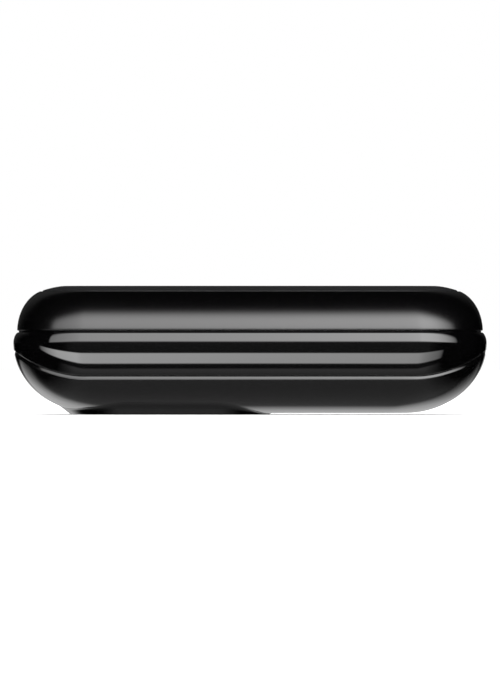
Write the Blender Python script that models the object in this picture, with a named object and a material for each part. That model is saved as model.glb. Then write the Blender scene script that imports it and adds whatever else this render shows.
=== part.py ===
"""Pocket logic analyzer: a rounded slab housing in four moulded layers round one circuit board.

Metres, +Z up. X runs along the length, Y across the width. The origin is the middle of the
underside. The signal header is in the -X end and the USB socket in the +X end.
"""

import math

import bmesh
import bpy
from mathutils import Matrix, Vector

# Outline of the housing, seen from above at its widest height
LENGTH = 0.100
WIDTH = 0.072
CORNER = 0.014          # plan radius of the four corners
CORNER_SHRINK = 0.45    # how much of an inset the corner radius gives up
SIDE_CROWN = 0.0008     # how far a long side bows out between its corners
END_CROWN = 0.0006      # how far an end bows out between its corners

# Heights
BASE = 0.0003           # flat underside of the lower shell
APEX = 0.0151           # widest height, on the middle band
UPPER_SEAM = 0.0175     # joint between band and upper shell
SIDE_SEAM = 0.0082      # joint between lower shell and band along a long side
END_SEAM = 0.0133       # the same joint at the ends, where it sweeps up
TOP = 0.0271            # flat top of the panel
CROWN_RISE = 0.0011     # rise of the panel's crown over the crease where it meets the shell
SEAM_START = 18.0       # corner angle where the seam starts to climb, from the long side
SEAM_STOP = 78.0        # corner angle where it has reached the end height

# Curves of the outer surface, as reach inwards and rise
FLANK_REACH = 0.0173
ROLL_REACH = 0.0010     # rolled upper edge of the band
ROLL_RISE = 0.0026
SHOULDER_FOOT = 0.0008  # how far the upper shell stands in from the widest outline
SHOULDER_REACH = 0.0070
SHOULDER_SPARE = 0.0004 # how much higher than the crease the shoulder's curve would end
PANEL_FLAT = 0.0109     # inset at which the panel's crown becomes flat
CROWN_POWER = 1.6

# Walls and fits
WALL = 0.0020
BAND_WALL = 0.0018
LIP_WALL = 0.0011
LIP_RISE = 0.0018       # how far the lower shell's lip stands up inside the band
TONGUE_DROP = 0.0011    # how far the upper shell's tongue reaches down inside the band
SEAM_GAP = 0.0004
FIT = 0.0003            # clearance between pieces that seat on or in one another
EDGE = 0.0003           # rounding of the band's lower edge
REVEAL = 0.0005         # height of the lower shell's upright rim, set in under the band
REVEAL_LEAN = 0.0001    # how far that rim leans in
RECESS_DEPTH = 0.0010   # of the panel's recess, under the crease
DECK = 0.0020           # thickness of the upper shell under the panel

# Foot plate, the raised land that the housing stands on
FOOT_FROM_END = 0.0118
FOOT_RIGHT = 0.0042
FOOT_FROM_SIDE = 0.0092
FOOT_THICKNESS = 0.0010 # where it lies in its pocket; its edges rise further, up the flank
FOOT_REACH = 0.0030     # height of the blank that the flank trims
FOOT_LEAN = 0.50        # how far its left wall leans out, for each unit of height
FOOT_SMALL_CORNER = 0.0060
FOOT_LARGE_CORNER = 0.0120

# Circuit board
BOARD_TOP = 0.0080
BOARD_THICKNESS = 0.0016
BOARD_INSET = 0.0079
BOARD_CORNER = 0.0120

# Fasteners
SCREW_FROM_END = 0.0165
LEFT_SCREW_FROM_SIDE = 0.0160   # of the left pair, which the foot plate covers
RIGHT_SCREW_FROM_SIDE = 0.0230  # of the right pair, out of sight from the sides
SCREW_RADIUS = 0.00125
HEAD_RADIUS = 0.0024
HEAD_HEIGHT = 0.0015
HEAD_LOW = 0.0019
DRIVE_RADIUS = 0.0011   # hexagonal drive, across its corners
DRIVE_DEPTH = 0.0008
SCREW_END = 0.0125
INSERT_RADIUS = 0.0021
INSERT_LENGTH = 0.0050
BOSS_WALL = 0.0011
BOARD_SCREW_FROM_SIDE = 0.0120
BOARD_SCREW_DEPTH = 0.0026

# Signal header in the -X end
PIN_COLUMNS = 10
PIN_PITCH = 0.00254
PIN_SIDE = 0.00064
PIN_RISE = 0.0027       # lower row's height over the board
PIN_SETBACK = 0.0022    # of the pins' tips, behind the bezel
PIN_BEND = 0.0023       # leg of the lower row, behind the shroud
HEADER_MARGIN = 0.0010  # cavity beyond the outer half pitch, at each end
HEADER_CAVITY = 0.0059
HEADER_WALL = 0.0013
HEADER_DEPTH = 0.0088
HEADER_BACK = 0.0020
HEADER_BEZEL_LOW = 0.0080
HEADER_BEZEL_HIGH = 0.0160
HEADER_BEZEL_HALF = 0.0155
HEADER_BEZEL_DEPTH = 0.0041
KEY_HALF = 0.0022       # polarising slot in the shroud's upper wall

# USB socket in the +X end
USB_WIDTH = 0.0077
USB_HEIGHT = 0.0039
USB_SHEET = 0.0004
USB_DEPTH = 0.0090
USB_SETBACK = 0.0025    # of the socket's mouth, from the end
USB_CHAMFER = 0.0009
TONGUE_WIDTH = 0.0046
TONGUE_THICKNESS = 0.0008
TONGUE_LENGTH = 0.0052
TONGUE_BLOCK = 0.0026
USB_BEZEL_LOW = 0.0068
USB_BEZEL_HIGH = 0.0138
USB_BEZEL_HALF = 0.0060
USB_BEZEL_DEPTH = 0.0058

# Start button and its switch
BUTTON_FROM_END = 0.0300
BUTTON_RADIUS = 0.0055
BUTTON_FLANGE = 0.0010  # flange beyond the cap, trapped under the panel
FLANGE_HEIGHT = 0.0004
FLANGE_LIFT = 0.0007    # over the recess floor, more than the button's travel
BUTTON_TRAVEL = 0.0005
STEM_RADIUS = 0.0022
GUIDE_LENGTH = 0.0040   # guide tube under the deck
GUIDE_WALL = 0.0010
DISH = 0.0004           # hollow of the button's face
SWITCH_SIDE = 0.0060
SWITCH_HEIGHT = 0.0035
PLUNGER_RADIUS = 0.0015
PLUNGER_RISE = 0.0012   # over the switch body
PLUNGER_DEPTH = 0.0014

# Status lights
LIGHT_FROM_BUTTON = 0.0120
LIGHT_PITCH = 0.0060
LIGHT_COUNT = 3
PIPE_RADIUS = 0.0011
PIPE_FLANGE = 0.0007
LED_SIZE = (0.0016, 0.0016, 0.0008)

# Parts on the board, as length, width and height
FPGA_SIZE = (0.0160, 0.0160, 0.0014)
FPGA_X = -0.0090
MEMORY_SIZE = (0.0118, 0.0080, 0.0011)
MEMORY_FROM_SIDE = 0.0195
BUFFER_SIZE = (0.0044, 0.0065, 0.0011)
BUFFER_FROM_END = 0.0255
BUFFER_PITCH = 0.0090
ARRAY_SIZE = (0.0016, 0.0032, 0.0006)
ARRAY_FROM_END = 0.0205
USB_CHIP_SIZE = (0.0070, 0.0070, 0.0009)
USB_CHIP_FROM_END = 0.0205
USB_CHIP_FROM_SCREW = 0.0090
CRYSTAL_SIZE = (0.0110, 0.0046, 0.0034)
CRYSTAL_FROM_END = 0.0210
CRYSTAL_Y = 0.0205
COIL_SIDE = 0.0060
COIL_HEIGHT = 0.0030
COIL_FROM_BUTTON = 0.0070
COIL_Y = 0.0160
CAPACITOR_RADIUS = 0.0025
CAPACITOR_HEIGHT = 0.0054
CAPACITOR_PITCH = 0.0070
CAPACITOR_COUNT = 3
CAPACITOR_FROM_BUTTON = 0.0110
CAPACITOR_Y = -0.0165

# Facets
CORNER_STEPS = 8
SIDE_STEPS = 4
END_STEPS = 3
FLANK_STEPS = 8
INNER_STEPS = 4
ROLL_STEPS = 3
ROUND_STEPS = 24
SMALL_ROUND_STEPS = 12
SCREW_STEPS = 16
SMOOTH_ANGLE = math.radians(28)

# Places that follow from the sizes above
END = LENGTH / 2
SIDE = WIDTH / 2
CREASE = TOP - CROWN_RISE
RECESS_FLOOR = CREASE - RECESS_DEPTH
DECK_LOW = RECESS_FLOOR - DECK
FLANK_RISE = APEX - BASE
SHOULDER_RISE = CREASE - UPPER_SEAM + SHOULDER_SPARE
BOARD_LOW = BOARD_TOP - BOARD_THICKNESS
SEATED = BOARD_TOP + FIT            # underside of what is soldered to the board
SCREW_X = END - SCREW_FROM_END
LEFT_SCREW_Y = SIDE - LEFT_SCREW_FROM_SIDE
RIGHT_SCREW_Y = SIDE - RIGHT_SCREW_FROM_SIDE
BOARD_SCREW_Y = SIDE - BOARD_SCREW_FROM_SIDE
FOOT_LEFT = FOOT_FROM_END - END
FOOT_HALF_WIDTH = SIDE - FOOT_FROM_SIDE
HEADER_BEZEL_BACK = HEADER_BEZEL_DEPTH - END
HEADER_FRONT = HEADER_BEZEL_BACK + FIT
HEADER_REAR = HEADER_FRONT + HEADER_DEPTH
USB_BEZEL_BACK = END - USB_BEZEL_DEPTH
USB_MOUTH = END - USB_SETBACK
USB_BACK = USB_MOUTH - USB_DEPTH
BUTTON_X = END - BUTTON_FROM_END
BUTTON_PLACE = (BUTTON_X, 0.0)
FLANGE_LOW = RECESS_FLOOR + FLANGE_LIFT
FLANGE_HIGH = FLANGE_LOW + FLANGE_HEIGHT


# --- scene and materials ---------------------------------------------------------------------

def clear_scene():
    for thing in list(bpy.data.objects):
        bpy.data.objects.remove(thing, do_unlink=True)


def material(name, colour, roughness, metallic=0.0):
    """A plain Principled material for one object."""
    made = bpy.data.materials.new(name)
    made.use_nodes = True
    shader = made.node_tree.nodes["Principled BSDF"]
    shader.inputs["Base Color"].default_value = (*colour, 1.0)
    shader.inputs["Roughness"].default_value = roughness
    shader.inputs["Metallic"].default_value = metallic
    return made


FINISHES = {
    "satin black": ((0.012, 0.012, 0.013), 0.30, 0.0),
    "gloss black": ((0.008, 0.008, 0.009), 0.08, 0.0),
    "soft black": ((0.014, 0.014, 0.015), 0.20, 0.0),
    "black plastic": ((0.020, 0.020, 0.021), 0.45, 0.0),
    "chip epoxy": ((0.030, 0.030, 0.032), 0.55, 0.0),
    "board green": ((0.020, 0.130, 0.060), 0.40, 0.0),
    "steel": ((0.560, 0.570, 0.580), 0.30, 1.0),
    "brass": ((0.780, 0.570, 0.230), 0.30, 1.0),
    "gold": ((0.900, 0.680, 0.300), 0.25, 1.0),
    "clear plastic": ((0.800, 0.850, 0.800), 0.15, 0.0),
    "ferrite": ((0.060, 0.060, 0.065), 0.60, 0.0),
    "pale ceramic": ((0.850, 0.830, 0.740), 0.40, 0.0),
}


def add_object(name, mesh_maker, finish):
    """Make an object from a bmesh, with faces out, smooth round shading and its own material."""
    mesh_maker.normal_update()
    bmesh.ops.recalc_face_normals(mesh_maker, faces=mesh_maker.faces)
    mesh = bpy.data.meshes.new(name)
    mesh_maker.to_mesh(mesh)
    mesh_maker.free()
    mesh.shade_smooth()
    mesh.set_sharp_from_angle(angle=SMOOTH_ANGLE)
    mesh.materials.append(material(name, *FINISHES[finish]))
    made = bpy.data.objects.new(name, mesh)
    bpy.context.scene.collection.objects.link(made)
    return made


def use_as_tool(tool):
    """Keep a cutter or a blank out of renders and of the finished part."""
    tool.hide_render = True
    tool.display_type = "WIRE"
    return tool


def boolean(target, tool, operation):
    step = target.modifiers.new(tool.name, "BOOLEAN")
    step.operation = operation
    step.object = tool
    step.solver = "EXACT"
    use_as_tool(tool)


def cut(target, *tools):
    for tool in tools:
        boolean(target, tool, "DIFFERENCE")


def add(target, *tools):
    for tool in tools:
        boolean(target, tool, "UNION")


# --- simple solids ---------------------------------------------------------------------------

def put_box(shape, low, high):
    """Add the box between two corners to a bmesh."""
    size = Vector(high) - Vector(low)
    centre = (Vector(high) + Vector(low)) / 2
    place = Matrix.Translation(centre) @ Matrix.Diagonal((*size, 1.0))
    return bmesh.ops.create_cube(shape, size=1.0, matrix=place)["verts"]


def box(name, low, high, finish, bevel=0.0):
    shape = bmesh.new()
    put_box(shape, low, high)
    if bevel:
        bmesh.ops.bevel(shape, geom=shape.edges[:], offset=bevel, segments=1, affect="EDGES")
    return add_object(name, shape, finish)


def centred_box(name, place, size, low, finish, bevel=0.0):
    """A box with its middle over place, standing on height low."""
    half_x, half_y = size[0] / 2, size[1] / 2
    first = (place[0] - half_x, place[1] - half_y, low)
    last = (place[0] + half_x, place[1] + half_y, low + size[2])
    return box(name, first, last, finish, bevel)


def put_turned(shape, profile, place, steps):
    """Add a solid turned about a vertical axis. The profile is (radius, height), bottom to top."""
    rings = []
    for radius, height in profile:
        ring = []
        for step in range(steps):
            angle = 2 * math.pi * step / steps
            x = place[0] + radius * math.cos(angle)
            y = place[1] + radius * math.sin(angle)
            ring.append(shape.verts.new((x, y, height)))
        rings.append(ring)
    skin(shape, rings, False)


def turned(name, profile, places, finish, steps=ROUND_STEPS):
    shape = bmesh.new()
    for place in places:
        put_turned(shape, profile, place, steps)
    return add_object(name, shape, finish)


def copies(name, profile, places, finish, steps=ROUND_STEPS):
    """One numbered object of the same turned shape for each place."""
    return [
        turned(f"{name}_{number}", profile, [place], finish, steps)
        for number, place in enumerate(places, 1)
    ]


def skin(shape, rings, closed):
    """Join rings of equal length with faces, and cap the two ends unless the section is closed."""
    pairs = list(zip(rings, rings[1:]))
    if closed:
        pairs.append((rings[-1], rings[0]))
    for lower, upper in pairs:
        for index, corner in enumerate(lower):
            following = (index + 1) % len(lower)
            shape.faces.new((corner, lower[following], upper[following], upper[index]))
    if not closed:
        shape.faces.new(tuple(reversed(rings[0])))
        shape.faces.new(tuple(rings[-1]))


# --- the housing's outline and outer surface -------------------------------------------------

def plan_places():
    """Places round the outline: share of the core box, outward direction and corner angle."""
    places = []
    for side_x, side_y, rising in ((1, -1, True), (1, 1, False), (-1, 1, True), (-1, -1, False)):
        for step in range(CORNER_STEPS + 1):
            share = step / CORNER_STEPS
            angle = (share if rising else 1 - share) * math.pi / 2
            direction = (side_x * math.sin(angle), side_y * math.cos(angle))
            places.append((side_x, side_y, direction, math.degrees(angle)))
        if rising:
            for step in range(1, END_STEPS):
                along = -1 + 2 * step / END_STEPS
                places.append((side_x, along * side_x, (side_x, 0), 90.0))
        else:
            for step in range(1, SIDE_STEPS):
                along = 1 - 2 * step / SIDE_STEPS
                places.append((along * side_y, side_y, (0, side_y), 0.0))
    return places


def plan_point(place, inset):
    """The outline's point at a place, moved in by inset, with the sides bowed."""
    core_x, core_y, direction, _ = place
    radius = CORNER - CORNER_SHRINK * inset
    x = core_x * (LENGTH / 2 - inset - radius) + direction[0] * radius
    y = core_y * (WIDTH / 2 - inset - radius) + direction[1] * radius
    bowed_y = y * (1 - 2 * SIDE_CROWN / WIDTH * (1 - math.cos(math.pi * x / LENGTH)))
    bowed_x = x * (1 - 2 * END_CROWN / LENGTH * (1 - math.cos(math.pi * y / WIDTH)))
    return bowed_x, bowed_y


def seam_height(angle):
    """Height of the lower seam at a corner angle, 0 on a long side and 90 on an end."""
    share = min(max((angle - SEAM_START) / (SEAM_STOP - SEAM_START), 0.0), 1.0)
    return SIDE_SEAM + (END_SEAM - SIDE_SEAM) * share * share * (3 - 2 * share)


def quarter(share):
    """Inward run of a quarter ellipse of unit reach at a share of its rise."""
    return 1 - math.sqrt(max(0.0, 1 - share * share))


def flank_inset(height):
    """Inset of the outer surface below the upper seam."""
    if height < APEX:
        return FLANK_REACH * quarter((APEX - height) / FLANK_RISE)
    return ROLL_REACH * quarter((height - APEX) / ROLL_RISE)


def shoulder_inset(height):
    """Inset of the upper shell's outer surface."""
    return SHOULDER_FOOT + SHOULDER_REACH * quarter((height - UPPER_SEAM) / SHOULDER_RISE)


def inner_flank_inset(height):
    """Inset of the lower shell's inner surface, one wall inside the flank."""
    rise = FLANK_RISE - WALL
    return WALL + (FLANK_REACH - WALL) * quarter((APEX - height) / rise)


def crown_height(inset):
    """Height of the top panel's crowned face at an inset."""
    share = (PANEL_FLAT - inset) / (PANEL_FLAT - shoulder_inset(CREASE))
    return TOP - (TOP - CREASE) * share ** CROWN_POWER


def even(start, stop, steps):
    """Evenly spaced values from start to stop, both included."""
    return [start + (stop - start) * step / steps for step in range(steps + 1)]


def flank_heights(stop, steps, base, rise):
    """Heights up a quarter ellipse from its flat bottom, at equal angles."""
    last = math.asin((APEX - stop) / rise)
    return [APEX - rise * math.sin(angle) for angle in even(math.pi / 2, last, steps)][1:]


def loft(name, section, closed, finish):
    """Sweep a section round the outline. section(seam) lists (inset, height) points."""
    shape = bmesh.new()
    columns = []
    for place in plan_places():
        column = []
        for inset, height in section(seam_height(place[3])):
            column.append(shape.verts.new((*plan_point(place, inset), height)))
        columns.append(column)
    skin(shape, [list(ring) for ring in zip(*columns)], closed)
    return add_object(name, shape, finish)


# --- the housing's layers --------------------------------------------------------------------

def lower_section(seam):
    """From the middle of the underside, up the flank and rim, over the lip and down inside."""
    edge = seam - SEAM_GAP / 2
    rim = edge - REVEAL
    heights = flank_heights(rim, FLANK_STEPS, BASE, FLANK_RISE)
    points = [(FLANK_REACH, BASE)] + [(flank_inset(height), height) for height in heights]
    points.append((flank_inset(rim) + REVEAL_LEAN, edge))
    lip = flank_inset(seam) + BAND_WALL + FIT
    points += [(lip, edge), (lip, edge + LIP_RISE)]
    points += [(lip + LIP_WALL, edge + LIP_RISE), (lip + LIP_WALL, edge)]
    inner = flank_heights(edge - WALL / 2, INNER_STEPS, BASE + WALL, FLANK_RISE - WALL)
    points += [(inner_flank_inset(height), height) for height in reversed(inner)]
    points.append((FLANK_REACH, BASE + WALL))
    return points


def band_section(seam):
    """Closed: up the glossy face, over the rolled edge and down the inner wall."""
    edge = seam + SEAM_GAP / 2
    points = [(flank_inset(edge) + EDGE, edge)]
    points.append((flank_inset(edge + EDGE / 3) + EDGE / 3, edge + EDGE / 8))
    points += [(flank_inset(height), height) for height in even(edge + EDGE, APEX, FLANK_STEPS)]
    top = UPPER_SEAM - SEAM_GAP / 2
    points += [(flank_inset(height), height) for height in even(APEX, top, ROLL_STEPS)[1:]]
    points.append((BAND_WALL, top))
    points += [(flank_inset(height) + BAND_WALL, height) for height in even(APEX, edge, INNER_STEPS)]
    return points


def upper_section(seam):
    """From under the deck, down inside, round the tongue, up the shoulder and into the recess."""
    foot = UPPER_SEAM + SEAM_GAP / 2
    tongue = BAND_WALL + FIT
    inner = [(shoulder_inset(height) + WALL, height) for height in even(DECK_LOW, foot, INNER_STEPS)]
    low = UPPER_SEAM - TONGUE_DROP
    points = inner[:-1] + [(tongue + LIP_WALL, foot), (tongue + LIP_WALL, low)]
    points += [(tongue, low), (tongue, foot)]
    last = math.asin((CREASE - UPPER_SEAM) / SHOULDER_RISE)
    for angle in even(math.asin((foot - UPPER_SEAM) / SHOULDER_RISE), last, FLANK_STEPS):
        height = UPPER_SEAM + SHOULDER_RISE * math.sin(angle)
        points.append((shoulder_inset(height), height))
    points.append((shoulder_inset(CREASE) + FIT / 3, RECESS_FLOOR))
    return points


def panel_section(seam):
    """From the middle of the panel's underside, up its edge and over the crown."""
    edge = shoulder_inset(CREASE) + FIT / 3 + FIT
    points = [(edge, RECESS_FLOOR + FIT)]
    points += [(inset, crown_height(inset)) for inset in even(edge, PANEL_FLAT, ROLL_STEPS + 2)]
    return points


def envelope_section(seam):
    """The filled outer surface below the upper seam, drawn in by a third of a fit."""
    sink = FIT / 3
    points = [(FLANK_REACH + sink, BASE + sink)]
    heights = flank_heights(APEX, FLANK_STEPS * 2, BASE, FLANK_RISE)
    points += [(flank_inset(height) + sink, height + sink) for height in heights]
    top = UPPER_SEAM - SEAM_GAP / 2
    points += [(flank_inset(height) + sink, height) for height in even(APEX, top, ROLL_STEPS)[1:]]
    return points


def plate_ceiling_section(seam):
    """What the foot plate lies against: its pocket's floor, then the flank, one fit lower."""
    heights = flank_heights(APEX, FLANK_STEPS * 2, BASE, FLANK_RISE)
    start = FOOT_THICKNESS + FIT
    points = [(flank_inset(start) - FIT, FOOT_THICKNESS)]
    points += [(flank_inset(height) - FIT, height - FIT) for height in heights if height > start]
    return points


# --- fasteners -------------------------------------------------------------------------------

def corner_places():
    left = [(-SCREW_X, side * LEFT_SCREW_Y) for side in (-1, 1)]
    return left + [(SCREW_X, side * RIGHT_SCREW_Y) for side in (-1, 1)]


def board_screw_places():
    return [(0.0, -BOARD_SCREW_Y), (0.0, BOARD_SCREW_Y)]


def make_lower_shell():
    shell = loft("lower_shell", lower_section, False, "soft black")
    head_hole = HEAD_RADIUS + FIT
    boss_top = BOARD_LOW - FIT
    shoulder = HEAD_LOW + HEAD_HEIGHT + FIT
    foot = BASE + WALL - FIT
    corner = [(head_hole + BOSS_WALL, foot), (head_hole + BOSS_WALL, boss_top)]
    add(shell, turned("lower bosses", corner, corner_places(), "soft black", SCREW_STEPS))
    middle = SCREW_RADIUS + FIT + BOSS_WALL
    post = [(middle, foot), (middle, boss_top)]
    add(shell, turned("board posts", post, board_screw_places(), "soft black", SCREW_STEPS))
    below = BASE - WALL
    bore = [(head_hole, below), (head_hole, shoulder)]
    shaft = [(SCREW_RADIUS + FIT, below), (SCREW_RADIUS + FIT, BOARD_TOP)]
    cut(shell, turned("head bores", bore, corner_places(), "soft black", SCREW_STEPS))
    cut(shell, turned("shaft bores", shaft, corner_places(), "soft black", SMALL_ROUND_STEPS))
    pilot = [(SCREW_RADIUS + FIT, BOARD_LOW - BOARD_SCREW_DEPTH), (SCREW_RADIUS + FIT, BOARD_TOP)]
    cut(shell, turned("pilot bores", pilot, board_screw_places(), "soft black", SMALL_ROUND_STEPS))
    cut(shell, foot_prism("foot pocket", (-WALL, FOOT_THICKNESS + FIT), FIT))
    cut(shell, *end_openings("lower"))


def end_openings(label):
    """Cutters for the two bezels' openings."""
    far = LENGTH
    header = box(
        label + " header opening",
        (-far, -HEADER_BEZEL_HALF - FIT, HEADER_BEZEL_LOW - FIT),
        (HEADER_FRONT + HEADER_WALL, HEADER_BEZEL_HALF + FIT, HEADER_BEZEL_HIGH + FIT),
        "gloss black",
    )
    usb = box(
        label + " usb opening",
        (USB_BEZEL_BACK - FIT, -USB_BEZEL_HALF - FIT, USB_BEZEL_LOW - FIT),
        (far, USB_BEZEL_HALF + FIT, USB_BEZEL_HIGH + FIT),
        "gloss black",
    )
    return header, usb


def make_band():
    band = loft("middle_band", band_section, True, "gloss black")
    cut(band, *end_openings("band"))


def make_upper_shell():
    shell = loft("upper_shell", upper_section, False, "satin black")
    hole = INSERT_RADIUS + FIT
    boss_low = BOARD_TOP + FIT
    boss = [(hole + BOSS_WALL, boss_low), (hole + BOSS_WALL, DECK_LOW + DECK / 2)]
    add(shell, turned("upper bosses", boss, corner_places(), "satin black", SCREW_STEPS))
    guide = STEM_RADIUS + FIT + GUIDE_WALL
    tube = [(guide, DECK_LOW - GUIDE_LENGTH), (guide, DECK_LOW + DECK / 2)]
    add(shell, turned("button guide", tube, [BUTTON_PLACE], "satin black"))
    seat = [(hole, boss_low - FIT), (hole, boss_low + INSERT_LENGTH + FIT)]
    cut(shell, turned("insert bores", seat, corner_places(), "satin black", SCREW_STEPS))
    bore = [(STEM_RADIUS + FIT, BOARD_TOP), (STEM_RADIUS + FIT, TOP)]
    cut(shell, turned("stem bore", bore, [BUTTON_PLACE], "satin black"))
    pipe = [(PIPE_RADIUS + FIT, BOARD_TOP), (PIPE_RADIUS + FIT, TOP)]
    cut(shell, turned("pipe bores", pipe, light_places(), "satin black", SMALL_ROUND_STEPS))


def make_top_panel():
    panel = loft("top_panel", panel_section, False, "satin black")
    button = BUTTON_RADIUS + FIT
    flange = button + BUTTON_FLANGE
    ceiling = FLANGE_HIGH + FIT
    hole = [(flange, BOARD_TOP), (flange, ceiling), (button, ceiling), (button, TOP + FIT)]
    cut(panel, turned("button hole", hole, [BUTTON_PLACE], "satin black"))
    pipe = [(PIPE_RADIUS + FIT, BOARD_TOP), (PIPE_RADIUS + FIT, TOP + FIT)]
    cut(panel, turned("panel pipe holes", pipe, light_places(), "satin black", SMALL_ROUND_STEPS))


def foot_outline(height, grown=0.0):
    """The foot plate's outline at a height, grown all round by an allowance."""
    left = FOOT_LEFT - FOOT_LEAN * max(height, 0.0)
    corners = (
        (left, -1, FOOT_SMALL_CORNER, 180), (FOOT_RIGHT, -1, FOOT_LARGE_CORNER, 270),
        (FOOT_RIGHT, 1, FOOT_LARGE_CORNER, 0), (left, 1, FOOT_SMALL_CORNER, 90),
    )
    points = []
    for end, side, radius, start in corners:
        middle_x = end + (radius if end == left else -radius)
        middle_y = side * (FOOT_HALF_WIDTH - radius)
        for angle in even(math.radians(start), math.radians(start + 90), CORNER_STEPS // 2):
            x = middle_x + (radius + grown) * math.cos(angle)
            points.append((x, middle_y + (radius + grown) * math.sin(angle), height))
    return points


def foot_prism(name, heights, grown):
    shape = bmesh.new()
    rings = []
    for height in heights:
        rings.append([shape.verts.new(point) for point in foot_outline(height, grown)])
    skin(shape, rings, False)
    return add_object(name, shape, "soft black")


def make_foot_plate():
    """The plate lies in a pocket and is trimmed to the flank where that rises over its edges."""
    plate = foot_prism("foot_plate", (0.0, FOOT_REACH), 0.0)
    cut(plate, loft("plate ceiling", plate_ceiling_section, False, "soft black"))


def make_screws():
    neck = HEAD_LOW + HEAD_HEIGHT
    profile = [
        (HEAD_RADIUS - FIT, HEAD_LOW), (HEAD_RADIUS, HEAD_LOW + FIT), (HEAD_RADIUS, neck),
        (SCREW_RADIUS, neck), (SCREW_RADIUS, SCREW_END - FIT), (SCREW_RADIUS - FIT, SCREW_END),
    ]
    drive = [(DRIVE_RADIUS, BASE - WALL), (DRIVE_RADIUS, HEAD_LOW + DRIVE_DEPTH)]
    drives = turned("housing drives", drive, corner_places(), "steel", 6)
    for screw in copies("housing_screw", profile, corner_places(), "steel", SCREW_STEPS):
        cut(screw, drives)
    seat = SEATED
    top = seat + HEAD_HEIGHT
    profile = [
        (SCREW_RADIUS - FIT, BOARD_LOW - BOARD_SCREW_DEPTH + FIT),
        (SCREW_RADIUS, BOARD_LOW - BOARD_SCREW_DEPTH + 2 * FIT), (SCREW_RADIUS, seat),
        (HEAD_RADIUS, seat), (HEAD_RADIUS, top - FIT), (HEAD_RADIUS - FIT, top),
    ]
    drive = [(DRIVE_RADIUS, top - DRIVE_DEPTH), (DRIVE_RADIUS, top + WALL)]
    drives = turned("board drives", drive, board_screw_places(), "steel", 6)
    for screw in copies("board_screw", profile, board_screw_places(), "steel", SCREW_STEPS):
        cut(screw, drives)


def make_inserts():
    low = BOARD_TOP + 2 * FIT
    high = low + INSERT_LENGTH - FIT
    waist = INSERT_RADIUS - FIT / 2
    middle = (low + high) / 2
    profile = [
        (INSERT_RADIUS, low), (INSERT_RADIUS, middle - FIT), (waist, middle - FIT),
        (waist, middle + FIT), (INSERT_RADIUS, middle + FIT), (INSERT_RADIUS, high),
    ]
    bore = [(SCREW_RADIUS + FIT, BOARD_TOP), (SCREW_RADIUS + FIT, high + WALL)]
    bores = turned("insert threads", bore, corner_places(), "brass", SMALL_ROUND_STEPS)
    for insert in copies("threaded_insert", profile, corner_places(), "brass", SCREW_STEPS):
        cut(insert, bores)


# --- the board and what is on it -------------------------------------------------------------

def make_board():
    shape = bmesh.new()
    half_x = LENGTH / 2 - BOARD_INSET - BOARD_CORNER
    half_y = WIDTH / 2 - BOARD_INSET - BOARD_CORNER
    rings = []
    for height in (BOARD_LOW, BOARD_TOP):
        ring = []
        for core_x, core_y, direction, angle in plan_places():
            x = core_x * half_x + direction[0] * BOARD_CORNER
            ring.append(shape.verts.new((x, core_y * half_y + direction[1] * BOARD_CORNER, height)))
        rings.append(ring)
    skin(shape, rings, False)
    board = add_object("main_board", shape, "board green")
    hole = [(SCREW_RADIUS + FIT, BOARD_LOW - WALL), (SCREW_RADIUS + FIT, BOARD_TOP + WALL)]
    places = corner_places() + board_screw_places()
    cut(board, turned("board holes", hole, places, "board green", SMALL_ROUND_STEPS))


def make_chips():
    chip = "chip epoxy"
    centred_box("fpga_chip", (FPGA_X, 0.0), FPGA_SIZE, SEATED, chip, FIT)
    for number, side in enumerate((-1, 1), 1):
        place = (FPGA_X, side * (SIDE - MEMORY_FROM_SIDE))
        centred_box(f"memory_chip_{number}", place, MEMORY_SIZE, SEATED, chip, FIT / 2)
    for number, share in enumerate((-1.5, -0.5, 0.5, 1.5), 1):
        place = (BUFFER_FROM_END - END, share * BUFFER_PITCH)
        centred_box(f"input_buffer_{number}", place, BUFFER_SIZE, SEATED, chip, FIT / 2)
        place = (ARRAY_FROM_END - END, share * BUFFER_PITCH)
        centred_box(f"resistor_array_{number}", place, ARRAY_SIZE, SEATED, "pale ceramic")
    place = (END - USB_CHIP_FROM_END, USB_CHIP_FROM_SCREW - RIGHT_SCREW_Y)
    centred_box("usb_controller_chip", place, USB_CHIP_SIZE, SEATED, chip, FIT / 2)


def make_crystal():
    """A can with half-round ends."""
    half_x, half_y = CRYSTAL_SIZE[0] / 2, CRYSTAL_SIZE[1] / 2
    crystal = bmesh.new()
    rings = []
    for height in (SEATED, SEATED + CRYSTAL_SIZE[2]):
        ring = []
        for step in range(ROUND_STEPS):
            angle = 2 * math.pi * (step + 0.5) / ROUND_STEPS
            shift = math.copysign(half_x - half_y, math.cos(angle))
            x = END - CRYSTAL_FROM_END + shift + half_y * math.cos(angle)
            ring.append(crystal.verts.new((x, CRYSTAL_Y + half_y * math.sin(angle), height)))
        rings.append(ring)
    skin(crystal, rings, False)
    add_object("crystal_can", crystal, "steel")


def make_power_parts():
    size = (COIL_SIDE, COIL_SIDE, COIL_HEIGHT)
    place = (BUTTON_X - COIL_FROM_BUTTON, COIL_Y)
    centred_box("power_inductor", place, size, SEATED, "ferrite", 2 * FIT)
    groove = SEATED + CAPACITOR_HEIGHT / 4
    top = SEATED + CAPACITOR_HEIGHT
    full = CAPACITOR_RADIUS
    profile = [
        (full, SEATED), (full, groove), (full - FIT, groove + FIT), (full, groove + 2 * FIT),
        (full, top - FIT), (full - FIT, top),
    ]
    first_x = BUTTON_X - CAPACITOR_FROM_BUTTON
    places = [(first_x + number * CAPACITOR_PITCH, CAPACITOR_Y)
              for number in range(CAPACITOR_COUNT)]
    copies("capacitor", profile, places, "steel", SMALL_ROUND_STEPS)


def light_places():
    middle = (LIGHT_COUNT - 1) / 2
    x = BUTTON_X - LIGHT_FROM_BUTTON
    return [(x, (number - middle) * LIGHT_PITCH) for number in range(LIGHT_COUNT)]


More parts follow.
